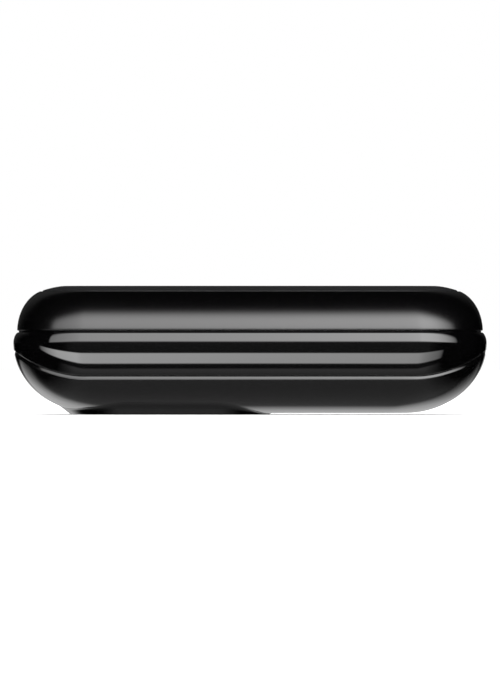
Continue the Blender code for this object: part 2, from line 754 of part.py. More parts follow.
def make_lights():
    for number, place in enumerate(light_places(), 1):
        centred_box(f"status_led_{number}", place, LED_SIZE, SEATED, "pale ceramic")
    low = SEATED + LED_SIZE[2] + FIT
    collar = DECK_LOW - FIT
    wide = PIPE_RADIUS + PIPE_FLANGE
    profile = [
        (PIPE_RADIUS, low), (PIPE_RADIUS, collar - 2 * FIT), (wide, collar - 2 * FIT),
        (wide, collar), (PIPE_RADIUS, collar), (PIPE_RADIUS, TOP),
    ]
    copies("light_pipe", profile, light_places(), "clear plastic", SMALL_ROUND_STEPS)


# --- button ----------------------------------------------------------------------------------

def make_button():
    """A dished cap flush with the panel, with a flange trapped under it and a long stem."""
    plunger_top = SEATED + SWITCH_HEIGHT + PLUNGER_RISE
    flange = BUTTON_RADIUS + BUTTON_FLANGE
    profile = [
        (STEM_RADIUS - FIT, plunger_top + FIT), (STEM_RADIUS, plunger_top + 2 * FIT),
        (STEM_RADIUS, FLANGE_LOW), (flange, FLANGE_LOW), (flange, FLANGE_HIGH),
        (BUTTON_RADIUS, FLANGE_HIGH), (BUTTON_RADIUS, TOP - FIT), (BUTTON_RADIUS - FIT, TOP),
        (BUTTON_RADIUS * 0.8, TOP), (BUTTON_RADIUS * 0.5, TOP - DISH * 0.7),
        (BUTTON_RADIUS * 0.2, TOP - DISH),
    ]
    button = turned("start_button", local(profile, TOP), [(0.0, 0.0)], "gloss black", 32)
    button.location = (BUTTON_X, 0.0, TOP)


def local(profile, height):
    """A profile moved down so that the given height becomes its own zero."""
    return [(radius, level - height) for radius, level in profile]


def make_switch():
    top = SEATED + SWITCH_HEIGHT
    size = (SWITCH_SIDE, SWITCH_SIDE, SWITCH_HEIGHT)
    body = centred_box("switch_body", BUTTON_PLACE, size, SEATED, "black plastic", FIT)
    low = top - PLUNGER_DEPTH
    hole = [(PLUNGER_RADIUS + FIT, low), (PLUNGER_RADIUS + FIT, top + WALL)]
    cut(body, turned("plunger hole", hole, [BUTTON_PLACE], "black plastic", 16))
    foot = low + BUTTON_TRAVEL + FIT
    profile = [(PLUNGER_RADIUS, foot), (PLUNGER_RADIUS, top + PLUNGER_RISE)]
    plunger = turned("switch_plunger", local(profile, top), [(0.0, 0.0)], "black plastic", 16)
    plunger.location = (BUTTON_X, 0.0, top)


# --- connectors ------------------------------------------------------------------------------

def header_cavity():
    """Half width, low and high of the signal header's cavity."""
    half = PIN_COLUMNS * PIN_PITCH / 2 + HEADER_MARGIN
    middle = BOARD_TOP + PIN_RISE + PIN_PITCH / 2
    return half, middle - HEADER_CAVITY / 2, middle + HEADER_CAVITY / 2


def pin_places():
    """Each pin's place across the header, with its height and the place of its leg."""
    for column in range(PIN_COLUMNS):
        across = (column - (PIN_COLUMNS - 1) / 2) * PIN_PITCH
        leg = HEADER_REAR + PIN_BEND
        yield across, BOARD_TOP + PIN_RISE, leg
        yield across, BOARD_TOP + PIN_RISE + PIN_PITCH, leg + PIN_PITCH


def make_header():
    """The shroud with its polarising slot and the right-angle pins moulded into its back."""
    half, low, high = header_cavity()
    inside = HEADER_REAR - HEADER_BACK
    outer_low = (HEADER_FRONT, -half - HEADER_WALL, SEATED)
    outer_high = (HEADER_REAR, half + HEADER_WALL, high + HEADER_WALL)
    header = box("signal_header", outer_low, outer_high, "black plastic")
    cavity_low = (HEADER_FRONT - WALL, -half, low)
    cut(header, box("header cavity", cavity_low, (inside, half, high), "black plastic"))
    key_low = (HEADER_FRONT - WALL, -KEY_HALF, high - FIT)
    key_high = (inside, KEY_HALF, high + HEADER_WALL + WALL)
    cut(header, box("header key", key_low, key_high, "black plastic"))
    add(header, make_pins())


def make_pins():
    """Right-angle pins: a run through the shroud's back and a leg down to the board."""
    shape = bmesh.new()
    half = PIN_SIDE / 2
    tip = HEADER_BEZEL_BACK + PIN_SETBACK
    for across, height, leg in pin_places():
        outline = [
            (tip, height - half), (leg - half, height - half), (leg - half, SEATED),
            (leg + half, SEATED), (leg + half, height + half), (tip, height + half),
        ]
        rings = [[shape.verts.new((x, across + side, z)) for x, z in outline]
                 for side in (-half, half)]
        skin(shape, rings, False)
    return add_object("header pins", shape, "gold")


def end_bezel(name, low, high, windows):
    """A block trimmed to the housing's outer surface, so that it lies flush, with its window."""
    bezel = box(name, low, high, "black plastic")
    trim = loft(name + " trim", envelope_section, False, "black plastic")
    boolean(bezel, trim, "INTERSECT")
    cut(bezel, windows)


def make_bezels():
    half, low, high = header_cavity()
    far = LENGTH
    window = box("header window", (-far, -half, low), (0.0, half, high), "black plastic")
    end_bezel(
        "header_bezel",
        (-far, -HEADER_BEZEL_HALF, HEADER_BEZEL_LOW),
        (HEADER_BEZEL_BACK, HEADER_BEZEL_HALF, HEADER_BEZEL_HIGH),
        window,
    )
    reach = USB_WIDTH / 2 + FIT
    window = box(
        "usb window",
        (0.0, -reach, SEATED - FIT),
        (far, reach, SEATED + USB_HEIGHT + FIT),
        "black plastic",
    )
    end_bezel(
        "usb_bezel",
        (USB_BEZEL_BACK, -USB_BEZEL_HALF, USB_BEZEL_LOW),
        (far, USB_BEZEL_HALF, USB_BEZEL_HIGH),
        window,
    )


def usb_outline(sink):
    """The socket's section: a box with its two lower corners cut off."""
    half = USB_WIDTH / 2 - sink
    low = SEATED + sink
    high = SEATED + USB_HEIGHT - sink
    chamfer = USB_CHAMFER
    return [
        (-half + chamfer, low), (half - chamfer, low), (half, low + chamfer), (half, high),
        (-half, high), (-half, low + chamfer),
    ]


def make_usb_socket():
    socket = prism_along_x("usb_socket_shell", usb_outline(0.0), USB_BACK, USB_MOUTH, "steel")
    hollow = prism_along_x(
        "usb hollow", usb_outline(USB_SHEET), USB_BACK + USB_SHEET, USB_MOUTH + WALL, "steel")
    cut(socket, hollow)
    block_low = USB_BACK + USB_SHEET + FIT
    block = usb_outline(USB_SHEET + FIT)
    insulator = prism_along_x(
        "usb_insulator", block, block_low, block_low + TONGUE_BLOCK, "black plastic")
    middle = SEATED + USB_HEIGHT / 2
    start = block_low + TONGUE_BLOCK
    tongue = box(
        "usb tongue",
        (start - FIT, -TONGUE_WIDTH / 2, middle - TONGUE_THICKNESS / 2),
        (start + TONGUE_LENGTH, TONGUE_WIDTH / 2, middle + TONGUE_THICKNESS / 2),
        "black plastic",
    )
    add(insulator, tongue)


def prism_along_x(name, outline, start, stop, finish):
    shape = bmesh.new()
    rings = [[shape.verts.new((x, y, z)) for y, z in outline] for x in (start, stop)]
    skin(shape, rings, False)
    return add_object(name, shape, finish)


def main():
    clear_scene()
    make_lower_shell()
    make_band()
    make_upper_shell()
    make_top_panel()
    make_foot_plate()
    make_screws()
    make_inserts()
    make_board()
    make_chips()
    make_crystal()
    make_power_parts()
    make_lights()
    make_button()
    make_switch()
    make_header()
    make_bezels()
    make_usb_socket()


main()
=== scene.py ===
"""Pocket logic analyzer: the finished look of the housing, its ports, button and lights.

Metres, +Z up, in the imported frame. The camera looks along +Y, level with the middle of the housing.
"""

from math import asin, cos, degrees, hypot, pi, radians, sin, sqrt

import bmesh
import bpy
from mathutils import Matrix, Vector


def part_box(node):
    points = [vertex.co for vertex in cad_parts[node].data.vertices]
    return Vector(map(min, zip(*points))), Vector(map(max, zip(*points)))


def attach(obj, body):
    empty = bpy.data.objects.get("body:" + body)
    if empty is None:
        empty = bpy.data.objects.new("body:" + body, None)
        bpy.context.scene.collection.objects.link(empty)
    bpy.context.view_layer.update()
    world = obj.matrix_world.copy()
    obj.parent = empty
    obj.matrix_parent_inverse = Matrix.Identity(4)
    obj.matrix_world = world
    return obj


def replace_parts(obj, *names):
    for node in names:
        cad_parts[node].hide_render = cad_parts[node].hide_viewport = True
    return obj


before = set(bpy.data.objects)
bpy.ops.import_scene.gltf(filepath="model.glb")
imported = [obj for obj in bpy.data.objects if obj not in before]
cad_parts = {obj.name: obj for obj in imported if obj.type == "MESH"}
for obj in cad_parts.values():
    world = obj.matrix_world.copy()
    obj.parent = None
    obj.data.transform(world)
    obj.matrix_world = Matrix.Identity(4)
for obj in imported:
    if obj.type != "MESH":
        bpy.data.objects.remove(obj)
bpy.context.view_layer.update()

HOUSING = "housing"
BUTTON = "start_button"

# --- sizes of the solids, and of what is drawn finer ---

LENGTH = 0.100  # outline before its sides are bowed
WIDTH = 0.072
CORNER = 0.014
CORNER_SHRINK = 0.45  # how fast the corners get smaller inwards
SIDE_CROWN = 0.0008  # bow of the long sides
END_CROWN = 0.0006  # bow of the ends

BASE = 0.0003  # underside of the lower shell
APEX = 0.0151  # height at which the housing is widest
UPPER_SEAM = 0.0175
SIDE_SEAM = 0.0082  # height of the lower seam along the sides
END_SEAM = 0.0133  # the same along the ends
SEAM_START = 4.0  # corner angle from which it climbs, in degrees
SEAM_CURVE = 1.75  # how late in the corner it climbs most
CROWN_RISE = 0.0011  # from the crease round the panel to its top
RECESS_DEPTH = 0.0010
DECK_WALL = 0.0020
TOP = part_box("top_panel")[1].z
CREASE = TOP - CROWN_RISE
RECESS_FLOOR = CREASE - RECESS_DEPTH
DECK_LOW = RECESS_FLOOR - DECK_WALL

FLANK_REACH = 0.0173  # how far the flank curves in to the underside
FLANK_RISE = APEX - BASE
ROLL_REACH = 0.0018  # how far the housing would curve in above its widest line
ROLL_RISE = 0.0026
SHOULDER_FOOT = 0.0008  # inset of the upper shell at its seam
SHOULDER_REACH = 0.0070
SHOULDER_OVER = 0.0004  # by which the shoulder's curve would pass the crease
SHOULDER_RISE = CREASE - UPPER_SEAM + SHOULDER_OVER
PANEL_FLAT = 0.0109  # inset from which the panel is flat
CROWN_POWER = 1.6

WALL = 0.0020
BAND_WALL = 0.0018
LIP_WALL = 0.0011
LIP_RISE = 0.0018
TONGUE_DROP = 0.0011
BOSS_WALL = 0.0011
SEAM_GAP = 0.0004
FIT = 0.0003
EDGE = 0.0003  # rounding of the band, button and screw heads
FINE_EDGE = 0.00015  # rounding of the sharp moulded edges
PANEL_EDGE = 0.0003  # rounding round the top panel
REVEAL = 0.0007  # height of the set-in rim under the band
REVEAL_LEAN = 0.0001
LOWER_GAP = 0.0002  # the lower seam, drawn finer than the clearance of the solids
UPPER_GAP = SEAM_GAP
BAND_TOP = UPPER_SEAM + SEAM_GAP / 2 - UPPER_GAP
SIDE_ROLL = 0.28  # share of the band's upper roll that its long sides have
REBATE = 0.0003  # depth at which each seam is closed from behind
CONTACT = 0.00003  # gap left where pieces look joined

FOOT_START = 0.0122  # from the housing's left end to the foot plate
FOOT_LEFT = FOOT_START - LENGTH / 2
FOOT_CORNER = 0.0120
FOOT_DEPTH = 0.0010  # depth of the plate's pocket
FOOT_SET_IN = 0.0010  # by which its sides stand in from the solid's
FOOT_LEAN = 0.5  # outward run of its wall for each unit of height
FOOT_END_LEAN = 1.3  # the same at its left end
FOOT_END_POWER = 8  # how close to that end the lean grows
FOOT_FLARE = 0.0009  # how far its wall flares on to the flank
FLARE_START = 0.5  # share of the wall that is below the flare
FLARE_LOSS = 0.8  # share of the flare that is lost at the left end

# Facets of the finished surfaces
CORNER_STEPS = 26
SIDE_STEPS = 24
END_STEPS = 16
FLANK_STEPS = 30
INNER_STEPS = 8
DECK_STEPS = 6
CROWN_STEPS = 14
FOOT_STEPS = 14
EDGE_STEPS = 4
WINDOW_STEPS = 6
ROUND_STEPS = 64
SCREW_STEPS = 40
PIPE_STEPS = 32
BETWEEN = (0.2, 0.4, 0.6, 0.8)  # shares of a straight run at which it has points
SMOOTH_ANGLE = radians(32)
SOFTEN_ANGLE = radians(40)
HALVINGS = 24  # in the search for the flank's inset
SETTLINGS = 12  # in the search for the foot's rim


# --- helpers ---

def even(start, stop, steps):
    """Evenly spaced values from start to stop, both included."""
    return [start + (stop - start) * step / steps for step in range(steps + 1)]


def bend(start, corner, stop, steps=EDGE_STEPS):
    """Points round a corner, from start to stop, both included."""
    points = []
    for share in even(0.0, 1.0, steps):
        near = Vector(start).lerp(Vector(corner), share)
        points.append(tuple(near.lerp(Vector(corner).lerp(Vector(stop), share), share)))
    return points


def new_object(name, shape):
    """An object in the scene from a bmesh, which is used up."""
    mesh = bpy.data.meshes.new(name)
    shape.to_mesh(mesh)
    shape.free()
    made = bpy.data.objects.new(name, mesh)
    bpy.context.scene.collection.objects.link(made)
    return made


def smooth(mesh):
    """Shade a mesh as round, but for its sharp edges."""
    mesh.shade_smooth()
    mesh.set_sharp_from_angle(angle=SMOOTH_ANGLE)


def piece(name, shape, finish, body=HOUSING):
    """A finished piece from a bmesh: faces out, smooth where round, riding on its body."""
    bmesh.ops.recalc_face_normals(shape, faces=shape.faces)
    made = new_object(name, shape)
    smooth(made.data)
    made.data.materials.append(finish)
    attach(made, body)
    return made


def tool(name, shape):
    """A cutter or blank, taken away again once it is used."""
    bmesh.ops.recalc_face_normals(shape, faces=shape.faces)
    return new_object(name, shape)


def bake(target):
    """Turn the modifiers of a piece into its mesh."""
    graph = bpy.context.evaluated_depsgraph_get()
    baked = bpy.data.meshes.new_from_object(target.evaluated_get(graph))
    target.modifiers.clear()
    target.data = baked


def carve(target, cutters, blanks=()):
    """Join the blanks to a piece, cut the cutters out of it and shade the result again."""
    for other in (*blanks, *cutters):
        step = target.modifiers.new(other.name, "BOOLEAN")
        step.operation = "UNION" if other in blanks else "DIFFERENCE"
        step.object = other
        step.solver = "EXACT"
    bake(target)
    smooth(target.data)
    for other in (*blanks, *cutters):
        bpy.data.objects.remove(other, do_unlink=True)


def soften(target, width):
    """Round the sharp edges of a piece that has flat faces."""
    step = target.modifiers.new("edges", "BEVEL")
    step.width = width
    step.segments = 2
    step.limit_method = "ANGLE"
    step.angle_limit = SOFTEN_ANGLE
    bake(target)
    smooth(target.data)


def flatten(target):
    """Let the large faces set the shading round their holes."""
    step = target.modifiers.new("shading", "WEIGHTED_NORMAL")
    step.keep_sharp = True
    bake(target)


def skin(shape, rings, closed=False):
    """Join rings of equal length with faces, and cap an open row."""
    pairs = list(zip(rings, rings[1:]))
    if closed:
        pairs.append((rings[-1], rings[0]))
    for lower, upper in pairs:
        for index, corner in enumerate(lower):
            after = (index + 1) % len(lower)
            shape.faces.new((corner, lower[after], upper[after], upper[index]))
    if not closed:
        shape.faces.new(tuple(reversed(rings[0])))
        shape.faces.new(tuple(rings[-1]))


def put_turned(shape, profile, place, steps=ROUND_STEPS):
    """Turn a (radius, height) profile about a vertical axis."""
    rings = []
    for radius, height in profile:
        ring = []
        for step in range(steps):
            angle = 2 * pi * step / steps
            x = place[0] + radius * cos(angle)
            y = place[1] + radius * sin(angle)
            ring.append(shape.verts.new((x, y, height)))
        rings.append(ring)
    skin(shape, rings)


def turned_tool(name, profile, places, steps=ROUND_STEPS):
    """A cutter or blank with one turned profile at each place."""
    shape = bmesh.new()
    for place in places:
        put_turned(shape, profile, place, steps)
    return tool(name, shape)


def put_prism(shape, outline, start, stop):
    """A prism along X from an outline of (y, z) points."""
    rings = [[shape.verts.new((x, y, z)) for y, z in outline] for x in (start, stop)]
    skin(shape, rings)


def prism_tool(name, outline, start, stop):
    """A cutter along X."""
    shape = bmesh.new()
    put_prism(shape, outline, start, stop)
    return tool(name, shape)


def put_box(shape, low, high):
    """A box between two opposite corners."""
    size = Vector(high) - Vector(low)
    place = Matrix.Translation((Vector(high) + Vector(low)) / 2) @ Matrix.Diagonal((*size, 1.0))
    bmesh.ops.create_cube(shape, size=1.0, matrix=place)


def rounded_rectangle(half, low, high, radius):
    """Outline in (y, z), from its lower right corner round."""
    points = []
    places = ((1, low + radius, -90), (1, high - radius, 0), (-1, high - radius, 90),
              (-1, low + radius, 180))
    for side, height, start in places:
        for angle in even(radians(start), radians(start + 90), WINDOW_STEPS):
            y = side * (half - radius) + radius * cos(angle)
            points.append((y, height + radius * sin(angle)))
    return points


# --- materials ---

NOISE_LOW = 0.3  # the noise seldom leaves this range
NOISE_HIGH = 0.7
CLOUD = 90.0  # cells of the slow unevenness for each metre
METAL_RELIEF = 0.000004


def new_material(name):
    """A material, its shader's sockets and the function that links its nodes."""
    made = bpy.data.materials.new(name)
    made.use_nodes = True
    return made, made.node_tree.nodes["Principled BSDF"].inputs, made.node_tree.links.new


def add_node(made, kind, **settings):
    """A shader node with some of its sockets or settings given a value."""
    node = made.node_tree.nodes.new("ShaderNode" + kind)
    for key, value in settings.items():
        if key in node.inputs:
            node.inputs[key].default_value = value
        else:
            setattr(node, key, value)
    return node


def reckon(made, operation, *sources):
    """The result of a step of arithmetic on one value or two."""
    node = add_node(made, "Math", operation=operation)
    for source, socket in zip(sources, node.inputs):
        made.node_tree.links.new(source, socket)
    return node.outputs[0]


def noise(made, scale, detail=2.0):
    """Noise in the object's own space, scale in cells for each metre."""
    place = add_node(made, "TexCoord")
    texture = add_node(made, "TexNoise", Scale=scale, Detail=detail)
    made.node_tree.links.new(place.outputs["Object"], texture.inputs["Vector"])
    return texture.outputs["Fac"]


def remap(made, source, start, stop, low, high):
    """Carry the range from start to stop over to the one from low to high."""
    node = add_node(made, "MapRange")
    for name, value in (("From Min", start), ("From Max", stop), ("To Min", low), ("To Max", high)):
        node.inputs[name].default_value = value
    made.node_tree.links.new(source, node.inputs["Value"])
    return node.outputs["Result"]


def shades(made, source, stops):
    """A colour by a value between 0 and 1, from (value, colour) stops."""
    scale = add_node(made, "ValToRGB")
    elements = scale.color_ramp.elements
    elements.remove(elements[1])
    for index, (position, colour) in enumerate(stops):
        element = elements.new(position) if index else elements[0]
        element.position = position
        element.color = (*colour, 1.0)
    made.node_tree.links.new(source, scale.inputs["Fac"])
    return scale.outputs["Color"]


def spread(made, source, low, high):
    """Map noise onto a range of values."""
    return remap(made, source, NOISE_LOW, NOISE_HIGH, low, high)


def tint(made, source, dark, light):
    """Mix two colours by noise."""
    return shades(made, source, ((NOISE_LOW, dark), (NOISE_HIGH, light)))


def bump(made, source, distance):
    """Relief of a given depth, in metres."""
    node = add_node(made, "Bump", Strength=1.0, Distance=distance)
    made.node_tree.links.new(source, node.inputs["Height"])
    return node.outputs["Normal"]


def plastic(name, colour, roughness, grain, relief, coat=0.0, coat_roughness=0.05):
    """Moulded plastic: fine grain in relief, with a little unevenness in colour and gloss."""
    made, shader, link = new_material(name)
    cloud = noise(made, CLOUD)
    fine = noise(made, grain, 3.0)
    dark = tuple(0.85 * value for value in colour)
    light = tuple(1.15 * value for value in colour)
    link(tint(made, fine, dark, light), shader["Base Color"])
    link(spread(made, cloud, roughness * 0.94, roughness * 1.06), shader["Roughness"])
    if relief:
        link(bump(made, fine, relief), shader["Normal"])
    shader["Coat Weight"].default_value = coat
    shader["Coat Roughness"].default_value = coat_roughness
    return made


def metal(name, colour, roughness, grain):
    """Rolled or plated metal, with a faint grain."""
    made, shader, link = new_material(name)
    fine = noise(made, grain, 4.0)
    dark = tuple(0.88 * value for value in colour)
    link(tint(made, fine, dark, colour), shader["Base Color"])
    link(spread(made, fine, roughness * 0.8, roughness * 1.2), shader["Roughness"])
    link(bump(made, fine, METAL_RELIEF), shader["Normal"])
    shader["Metallic"].default_value = 1.0
    return made


def lens(name):
    """Milky clear plastic of the light pipes."""
    made, shader, link = new_material(name)
    cloud = noise(made, 900.0)
    link(tint(made, cloud, (0.55, 0.60, 0.57), (0.68, 0.72, 0.69)), shader["Base Color"])
    link(spread(made, cloud, 0.18, 0.26), shader["Roughness"])
    shader["Transmission Weight"].default_value = 0.35
    shader["IOR"].default_value = 1.49
    return made


def board_finish(name):
    """Green solder mask over copper traces that run across the board."""
    made, shader, link = new_material(name)
    place = add_node(made, "TexCoord")
    traces = add_node(made, "TexBrick", Scale=160.0)
    traces.inputs["Mortar Size"].default_value = 0.05
    traces.inputs["Color1"].default_value = (0.016, 0.110, 0.050, 1.0)
    traces.inputs["Color2"].default_value = (0.020, 0.130, 0.060, 1.0)
    traces.inputs["Mortar"].default_value = (0.045, 0.210, 0.090, 1.0)
    link(place.outputs["Object"], traces.inputs["Vector"])
    link(traces.outputs["Color"], shader["Base Color"])
    link(spread(made, noise(made, 800.0), 0.30, 0.42), shader["Roughness"])
    return made


# Colour, roughness, cells of the grain for each metre, its relief, coat and the coat's roughness
GLOSS = plastic("gloss band", (0.0012, 0.0012, 0.0013), 0.06, 5200.0, 0.0, 1.0, 0.03)
SATIN = plastic("satin shell", (0.0011, 0.0011, 0.0012), 0.22, 7000.0, 0.0000006, 0.9, 0.20)
PANEL = plastic("soft panel", (0.0100, 0.0100, 0.0106), 0.42, 6000.0, 0.000003)
LOWER = plastic("lower shell plastic", (0.0018, 0.0018, 0.0019), 0.12, 6000.0, 0.0000004, 0.8, 0.12)
FOOT = plastic("foot plastic", (0.0022, 0.0022, 0.0024), 0.16, 5000.0, 0.0000005, 0.7, 0.15)
CAP = plastic("button plastic", (0.0060, 0.0060, 0.0064), 0.30, 5200.0, 0.0000012)
PORT = plastic("port plastic", (0.0120, 0.0120, 0.0125), 0.34, 6500.0, 0.000004, 0.2, 0.3)
SHROUD = plastic("header plastic", (0.0150, 0.0150, 0.0155), 0.48, 5500.0, 0.000005)
EPOXY = plastic("chip epoxy", (0.0300, 0.0300, 0.0320), 0.55, 9000.0, 0.000006)
FERRITE = plastic("ferrite", (0.0600, 0.0600, 0.0650), 0.60, 6000.0, 0.000008)
CERAMIC = plastic("ceramic", (0.7800, 0.7600, 0.6700), 0.45, 6000.0, 0.000003)
STEEL = metal("nickel steel", (0.62, 0.63, 0.64), 0.24, 3000.0)
ZINC = metal("black zinc screw", (0.10, 0.10, 0.11), 0.30, 3000.0)
BRASS = metal("brass", (0.78, 0.57, 0.23), 0.30, 3000.0)
GOLD = metal("gold plate", (0.90, 0.66, 0.28), 0.22, 2500.0)
TIN = metal("aluminium can", (0.70, 0.71, 0.72), 0.30, 2500.0)
LENS = lens("light pipe plastic")
MASK = board_finish("solder mask")


# --- the housing's outline and outer surface ---

def plan_places():
    """Places round the outline: share of the core box, outward direction and corner angle."""
    places = []
    for side_x, side_y, rising in ((1, -1, True), (1, 1, False), (-1, 1, True), (-1, -1, False)):
        for share in even(0, 1, CORNER_STEPS):
            angle = (share if rising else 1 - share) * pi / 2
            direction = (side_x * sin(angle), side_y * cos(angle))
            places.append((side_x, side_y, direction, degrees(angle)))
        if rising:
            run = even(-1, 1, END_STEPS)[1:-1]
            places += [(side_x, along * side_x, (side_x, 0), 90.0) for along in run]
        else:
            run = even(1, -1, SIDE_STEPS)[1:-1]
            places += [(along * side_y, side_y, (0, side_y), 0.0) for along in run]
    return places


def side_bow(x):
    """Share of the half width that the bowed outline keeps at a place along it."""
    return 1 - 2 * SIDE_CROWN / WIDTH * (1 - cos(pi * x / LENGTH))


def end_bow(y):
    """The same share of the half length."""
    return 1 - 2 * END_CROWN / LENGTH * (1 - cos(pi * y / WIDTH))


def plan_point(place, inset):
    """A point of the bowed outline at one of its places, some way inside it."""
    core_x, core_y, direction, _ = place
    radius = CORNER - CORNER_SHRINK * inset
    x = core_x * (LENGTH / 2 - inset - radius) + direction[0] * radius
    y = core_y * (WIDTH / 2 - inset - radius) + direction[1] * radius
    return x * end_bow(y), y * side_bow(x)


def seam_height(angle):
    """Height of the lower seam, which climbs round the corners."""
    share = max((angle - SEAM_START) / (90.0 - SEAM_START), 0.0) ** SEAM_CURVE
    return SIDE_SEAM + (END_SEAM - SIDE_SEAM) * sin(pi / 2 * share)


def quarter(share):
    """Inward run of a quarter ellipse of unit reach at a share of its rise."""
    return 1 - sqrt(max(0.0, 1 - share * share))


def flank_inset(height):
    """Inset of the housing's face: the flank below its widest line, the roll above it."""
    if height < APEX:
        return FLANK_REACH * quarter((APEX - height) / FLANK_RISE)
    return ROLL_REACH * quarter((height - APEX) / ROLL_RISE)


def shoulder_inset(height):
    """Inset of the upper shell's outer face."""
    return SHOULDER_FOOT + SHOULDER_REACH * quarter((height - UPPER_SEAM) / SHOULDER_RISE)


def inner_flank_inset(height):
    """Inset of the lower shell's inner face."""
    return WALL + (FLANK_REACH - WALL) * quarter((APEX - height) / (FLANK_RISE - WALL))


def crown_height(inset):
    """Height of the top panel's face."""
    share = (PANEL_FLAT - inset) / (PANEL_FLAT - shoulder_inset(CREASE))
    return TOP - (TOP - CREASE) * max(share, 0.0) ** CROWN_POWER


def flank_heights(stop, steps, rise):
    """Heights up a quarter ellipse from its flat bottom, at equal angles."""
    last = asin((APEX - stop) / rise)
    return [APEX - rise * sin(angle) for angle in even(pi / 2, last, steps)][1:]


def loft(shape, section, closed):
    """Sweep a section round the outline. section(seam) lists (inset, height) points."""
    columns = []
    for place in plan_places():
        column = []
        for inset, height in section(seam_height(place[3])):
            column.append(shape.verts.new((*plan_point(place, inset), height)))
        columns.append(column)
    skin(shape, [list(ring) for ring in zip(*columns)], closed)
    return shape


def lower_section(seam):
    """From the middle of the underside, up the flank, over the lip and down inside."""
    edge = seam - LOWER_GAP / 2
    rim = edge - REVEAL
    points = [(FLANK_REACH, BASE)]
    heights = flank_heights(rim - FINE_EDGE, FLANK_STEPS, FLANK_RISE)
    points += [(flank_inset(height), height) for height in heights]
    lean = REVEAL_LEAN / REVEAL
    above = (flank_inset(rim) + lean * FINE_EDGE, rim + FINE_EDGE)
    points += bend(points[-1], (flank_inset(rim), rim), above)[1:]
    inset = flank_inset(rim) + REVEAL_LEAN
    below = (inset - lean * FINE_EDGE / 2, edge - FINE_EDGE / 2)
    points += bend(below, (inset, edge), (inset + FINE_EDGE, edge))
    stop = seam + LOWER_GAP / 2 - CONTACT
    points += [(inset + REBATE, edge), (inset + REBATE, stop)]
    lip = flank_inset(seam) + BAND_WALL + FIT
    points += [(lip, stop), (lip, edge + LIP_RISE)]
    points += [(lip + LIP_WALL, edge + LIP_RISE), (lip + LIP_WALL, edge)]
    inner = flank_heights(edge - WALL / 2, INNER_STEPS, FLANK_RISE - WALL)
    points += [(inner_flank_inset(height), height) for height in reversed(inner)]
    points.append((FLANK_REACH, BASE + WALL))
    return points


def roll_inset(height, seam):
    """Inset of the band's rolled upper part, tighter on the long sides."""
    climb = (seam - SIDE_SEAM) / (END_SEAM - SIDE_SEAM)
    return (SIDE_ROLL + (1 - SIDE_ROLL) * climb) * flank_inset(height)


def band_section(seam):
    """Round the lower edge, up the glossy face, over the roll, the rebate and down inside."""
    edge = seam + LOWER_GAP / 2
    low = (flank_inset(edge + EDGE), edge + EDGE)
    points = bend((flank_inset(edge) + EDGE, edge), (flank_inset(edge), edge), low, 2 * EDGE_STEPS)
    points += [(flank_inset(height), height) for height in even(edge + EDGE, APEX, FLANK_STEPS)[1:]]
    rolled = even(APEX, BAND_TOP - FINE_EDGE, EDGE_STEPS * 3)[1:]
    points += [(roll_inset(height, seam), height) for height in rolled]
    corner = roll_inset(BAND_TOP, seam)
    points += bend(points[-1], (corner, BAND_TOP), (corner + FINE_EDGE, BAND_TOP))[1:]
    stop = BAND_TOP + UPPER_GAP - CONTACT
    points += [(corner + REBATE, BAND_TOP), (corner + REBATE, stop), (BAND_WALL, stop)]
    inner = even(APEX, edge, INNER_STEPS)
    points += [(flank_inset(height) + BAND_WALL, height) for height in inner]
    return points


def upper_section(seam):
    """From under the deck, down inside, round the tongue, up the shoulder and into the recess."""
    foot = UPPER_SEAM + SEAM_GAP / 2
    tongue = BAND_WALL + FIT
    inner = [(shoulder_inset(height) + WALL, height) for height in even(DECK_LOW, foot, DECK_STEPS)]
    low = UPPER_SEAM - TONGUE_DROP
    points = inner[:-1] + [(tongue + LIP_WALL, foot), (tongue + LIP_WALL, low)]
    points += [(tongue, low), (tongue, foot)]
    first = (shoulder_inset(foot) + FINE_EDGE, foot)
    start = (shoulder_inset(foot + FINE_EDGE), foot + FINE_EDGE)
    points += bend(first, (shoulder_inset(foot), foot), start)
    begin = asin((foot + FINE_EDGE - UPPER_SEAM) / SHOULDER_RISE)
    last = asin((CREASE - FINE_EDGE / 2 - UPPER_SEAM) / SHOULDER_RISE)
    for angle in even(begin, last, FLANK_STEPS)[1:]:
        height = UPPER_SEAM + SHOULDER_RISE * sin(angle)
        points.append((shoulder_inset(height), height))
    wall = shoulder_inset(CREASE) + FIT / 3
    points += bend(points[-1], (wall, CREASE), (wall, CREASE - FINE_EDGE))[1:]
    points.append((wall, RECESS_FLOOR))
    return points


def panel_section(seam):
    """Up the panel's edge and over its crown."""
    edge = shoulder_inset(CREASE) + FIT / 3 + FIT
    inner = edge + PANEL_EDGE
    points = [(edge, RECESS_FLOOR + FIT)]
    points += bend((edge, crown_height(edge) - PANEL_EDGE), (edge, crown_height(edge)),
                   (inner, crown_height(inner)))
    points += [(inset, crown_height(inset)) for inset in even(inner, PANEL_FLAT, CROWN_STEPS)[1:]]
    return points


# --- ports, fasteners and controls: sizes ---

BOARD_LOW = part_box("main_board")[0].z
BOARD_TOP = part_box("main_board")[1].z

HEAD_RADIUS = 0.0024
HEAD_HEIGHT = 0.0015
HEAD_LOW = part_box("housing_screw_1")[0].z
SCREW_RADIUS = 0.00125
THREAD_START = 0.00015
THREAD_PITCH = 0.00045
THREAD_DEPTH = 0.00018
THREAD_RISE = 0.00022
DRIVE_RADIUS = 0.0011
DRIVE_DEPTH = 0.0008
DRIVE_CHAMFER = 0.0001
DRIVE_SIDES = 6

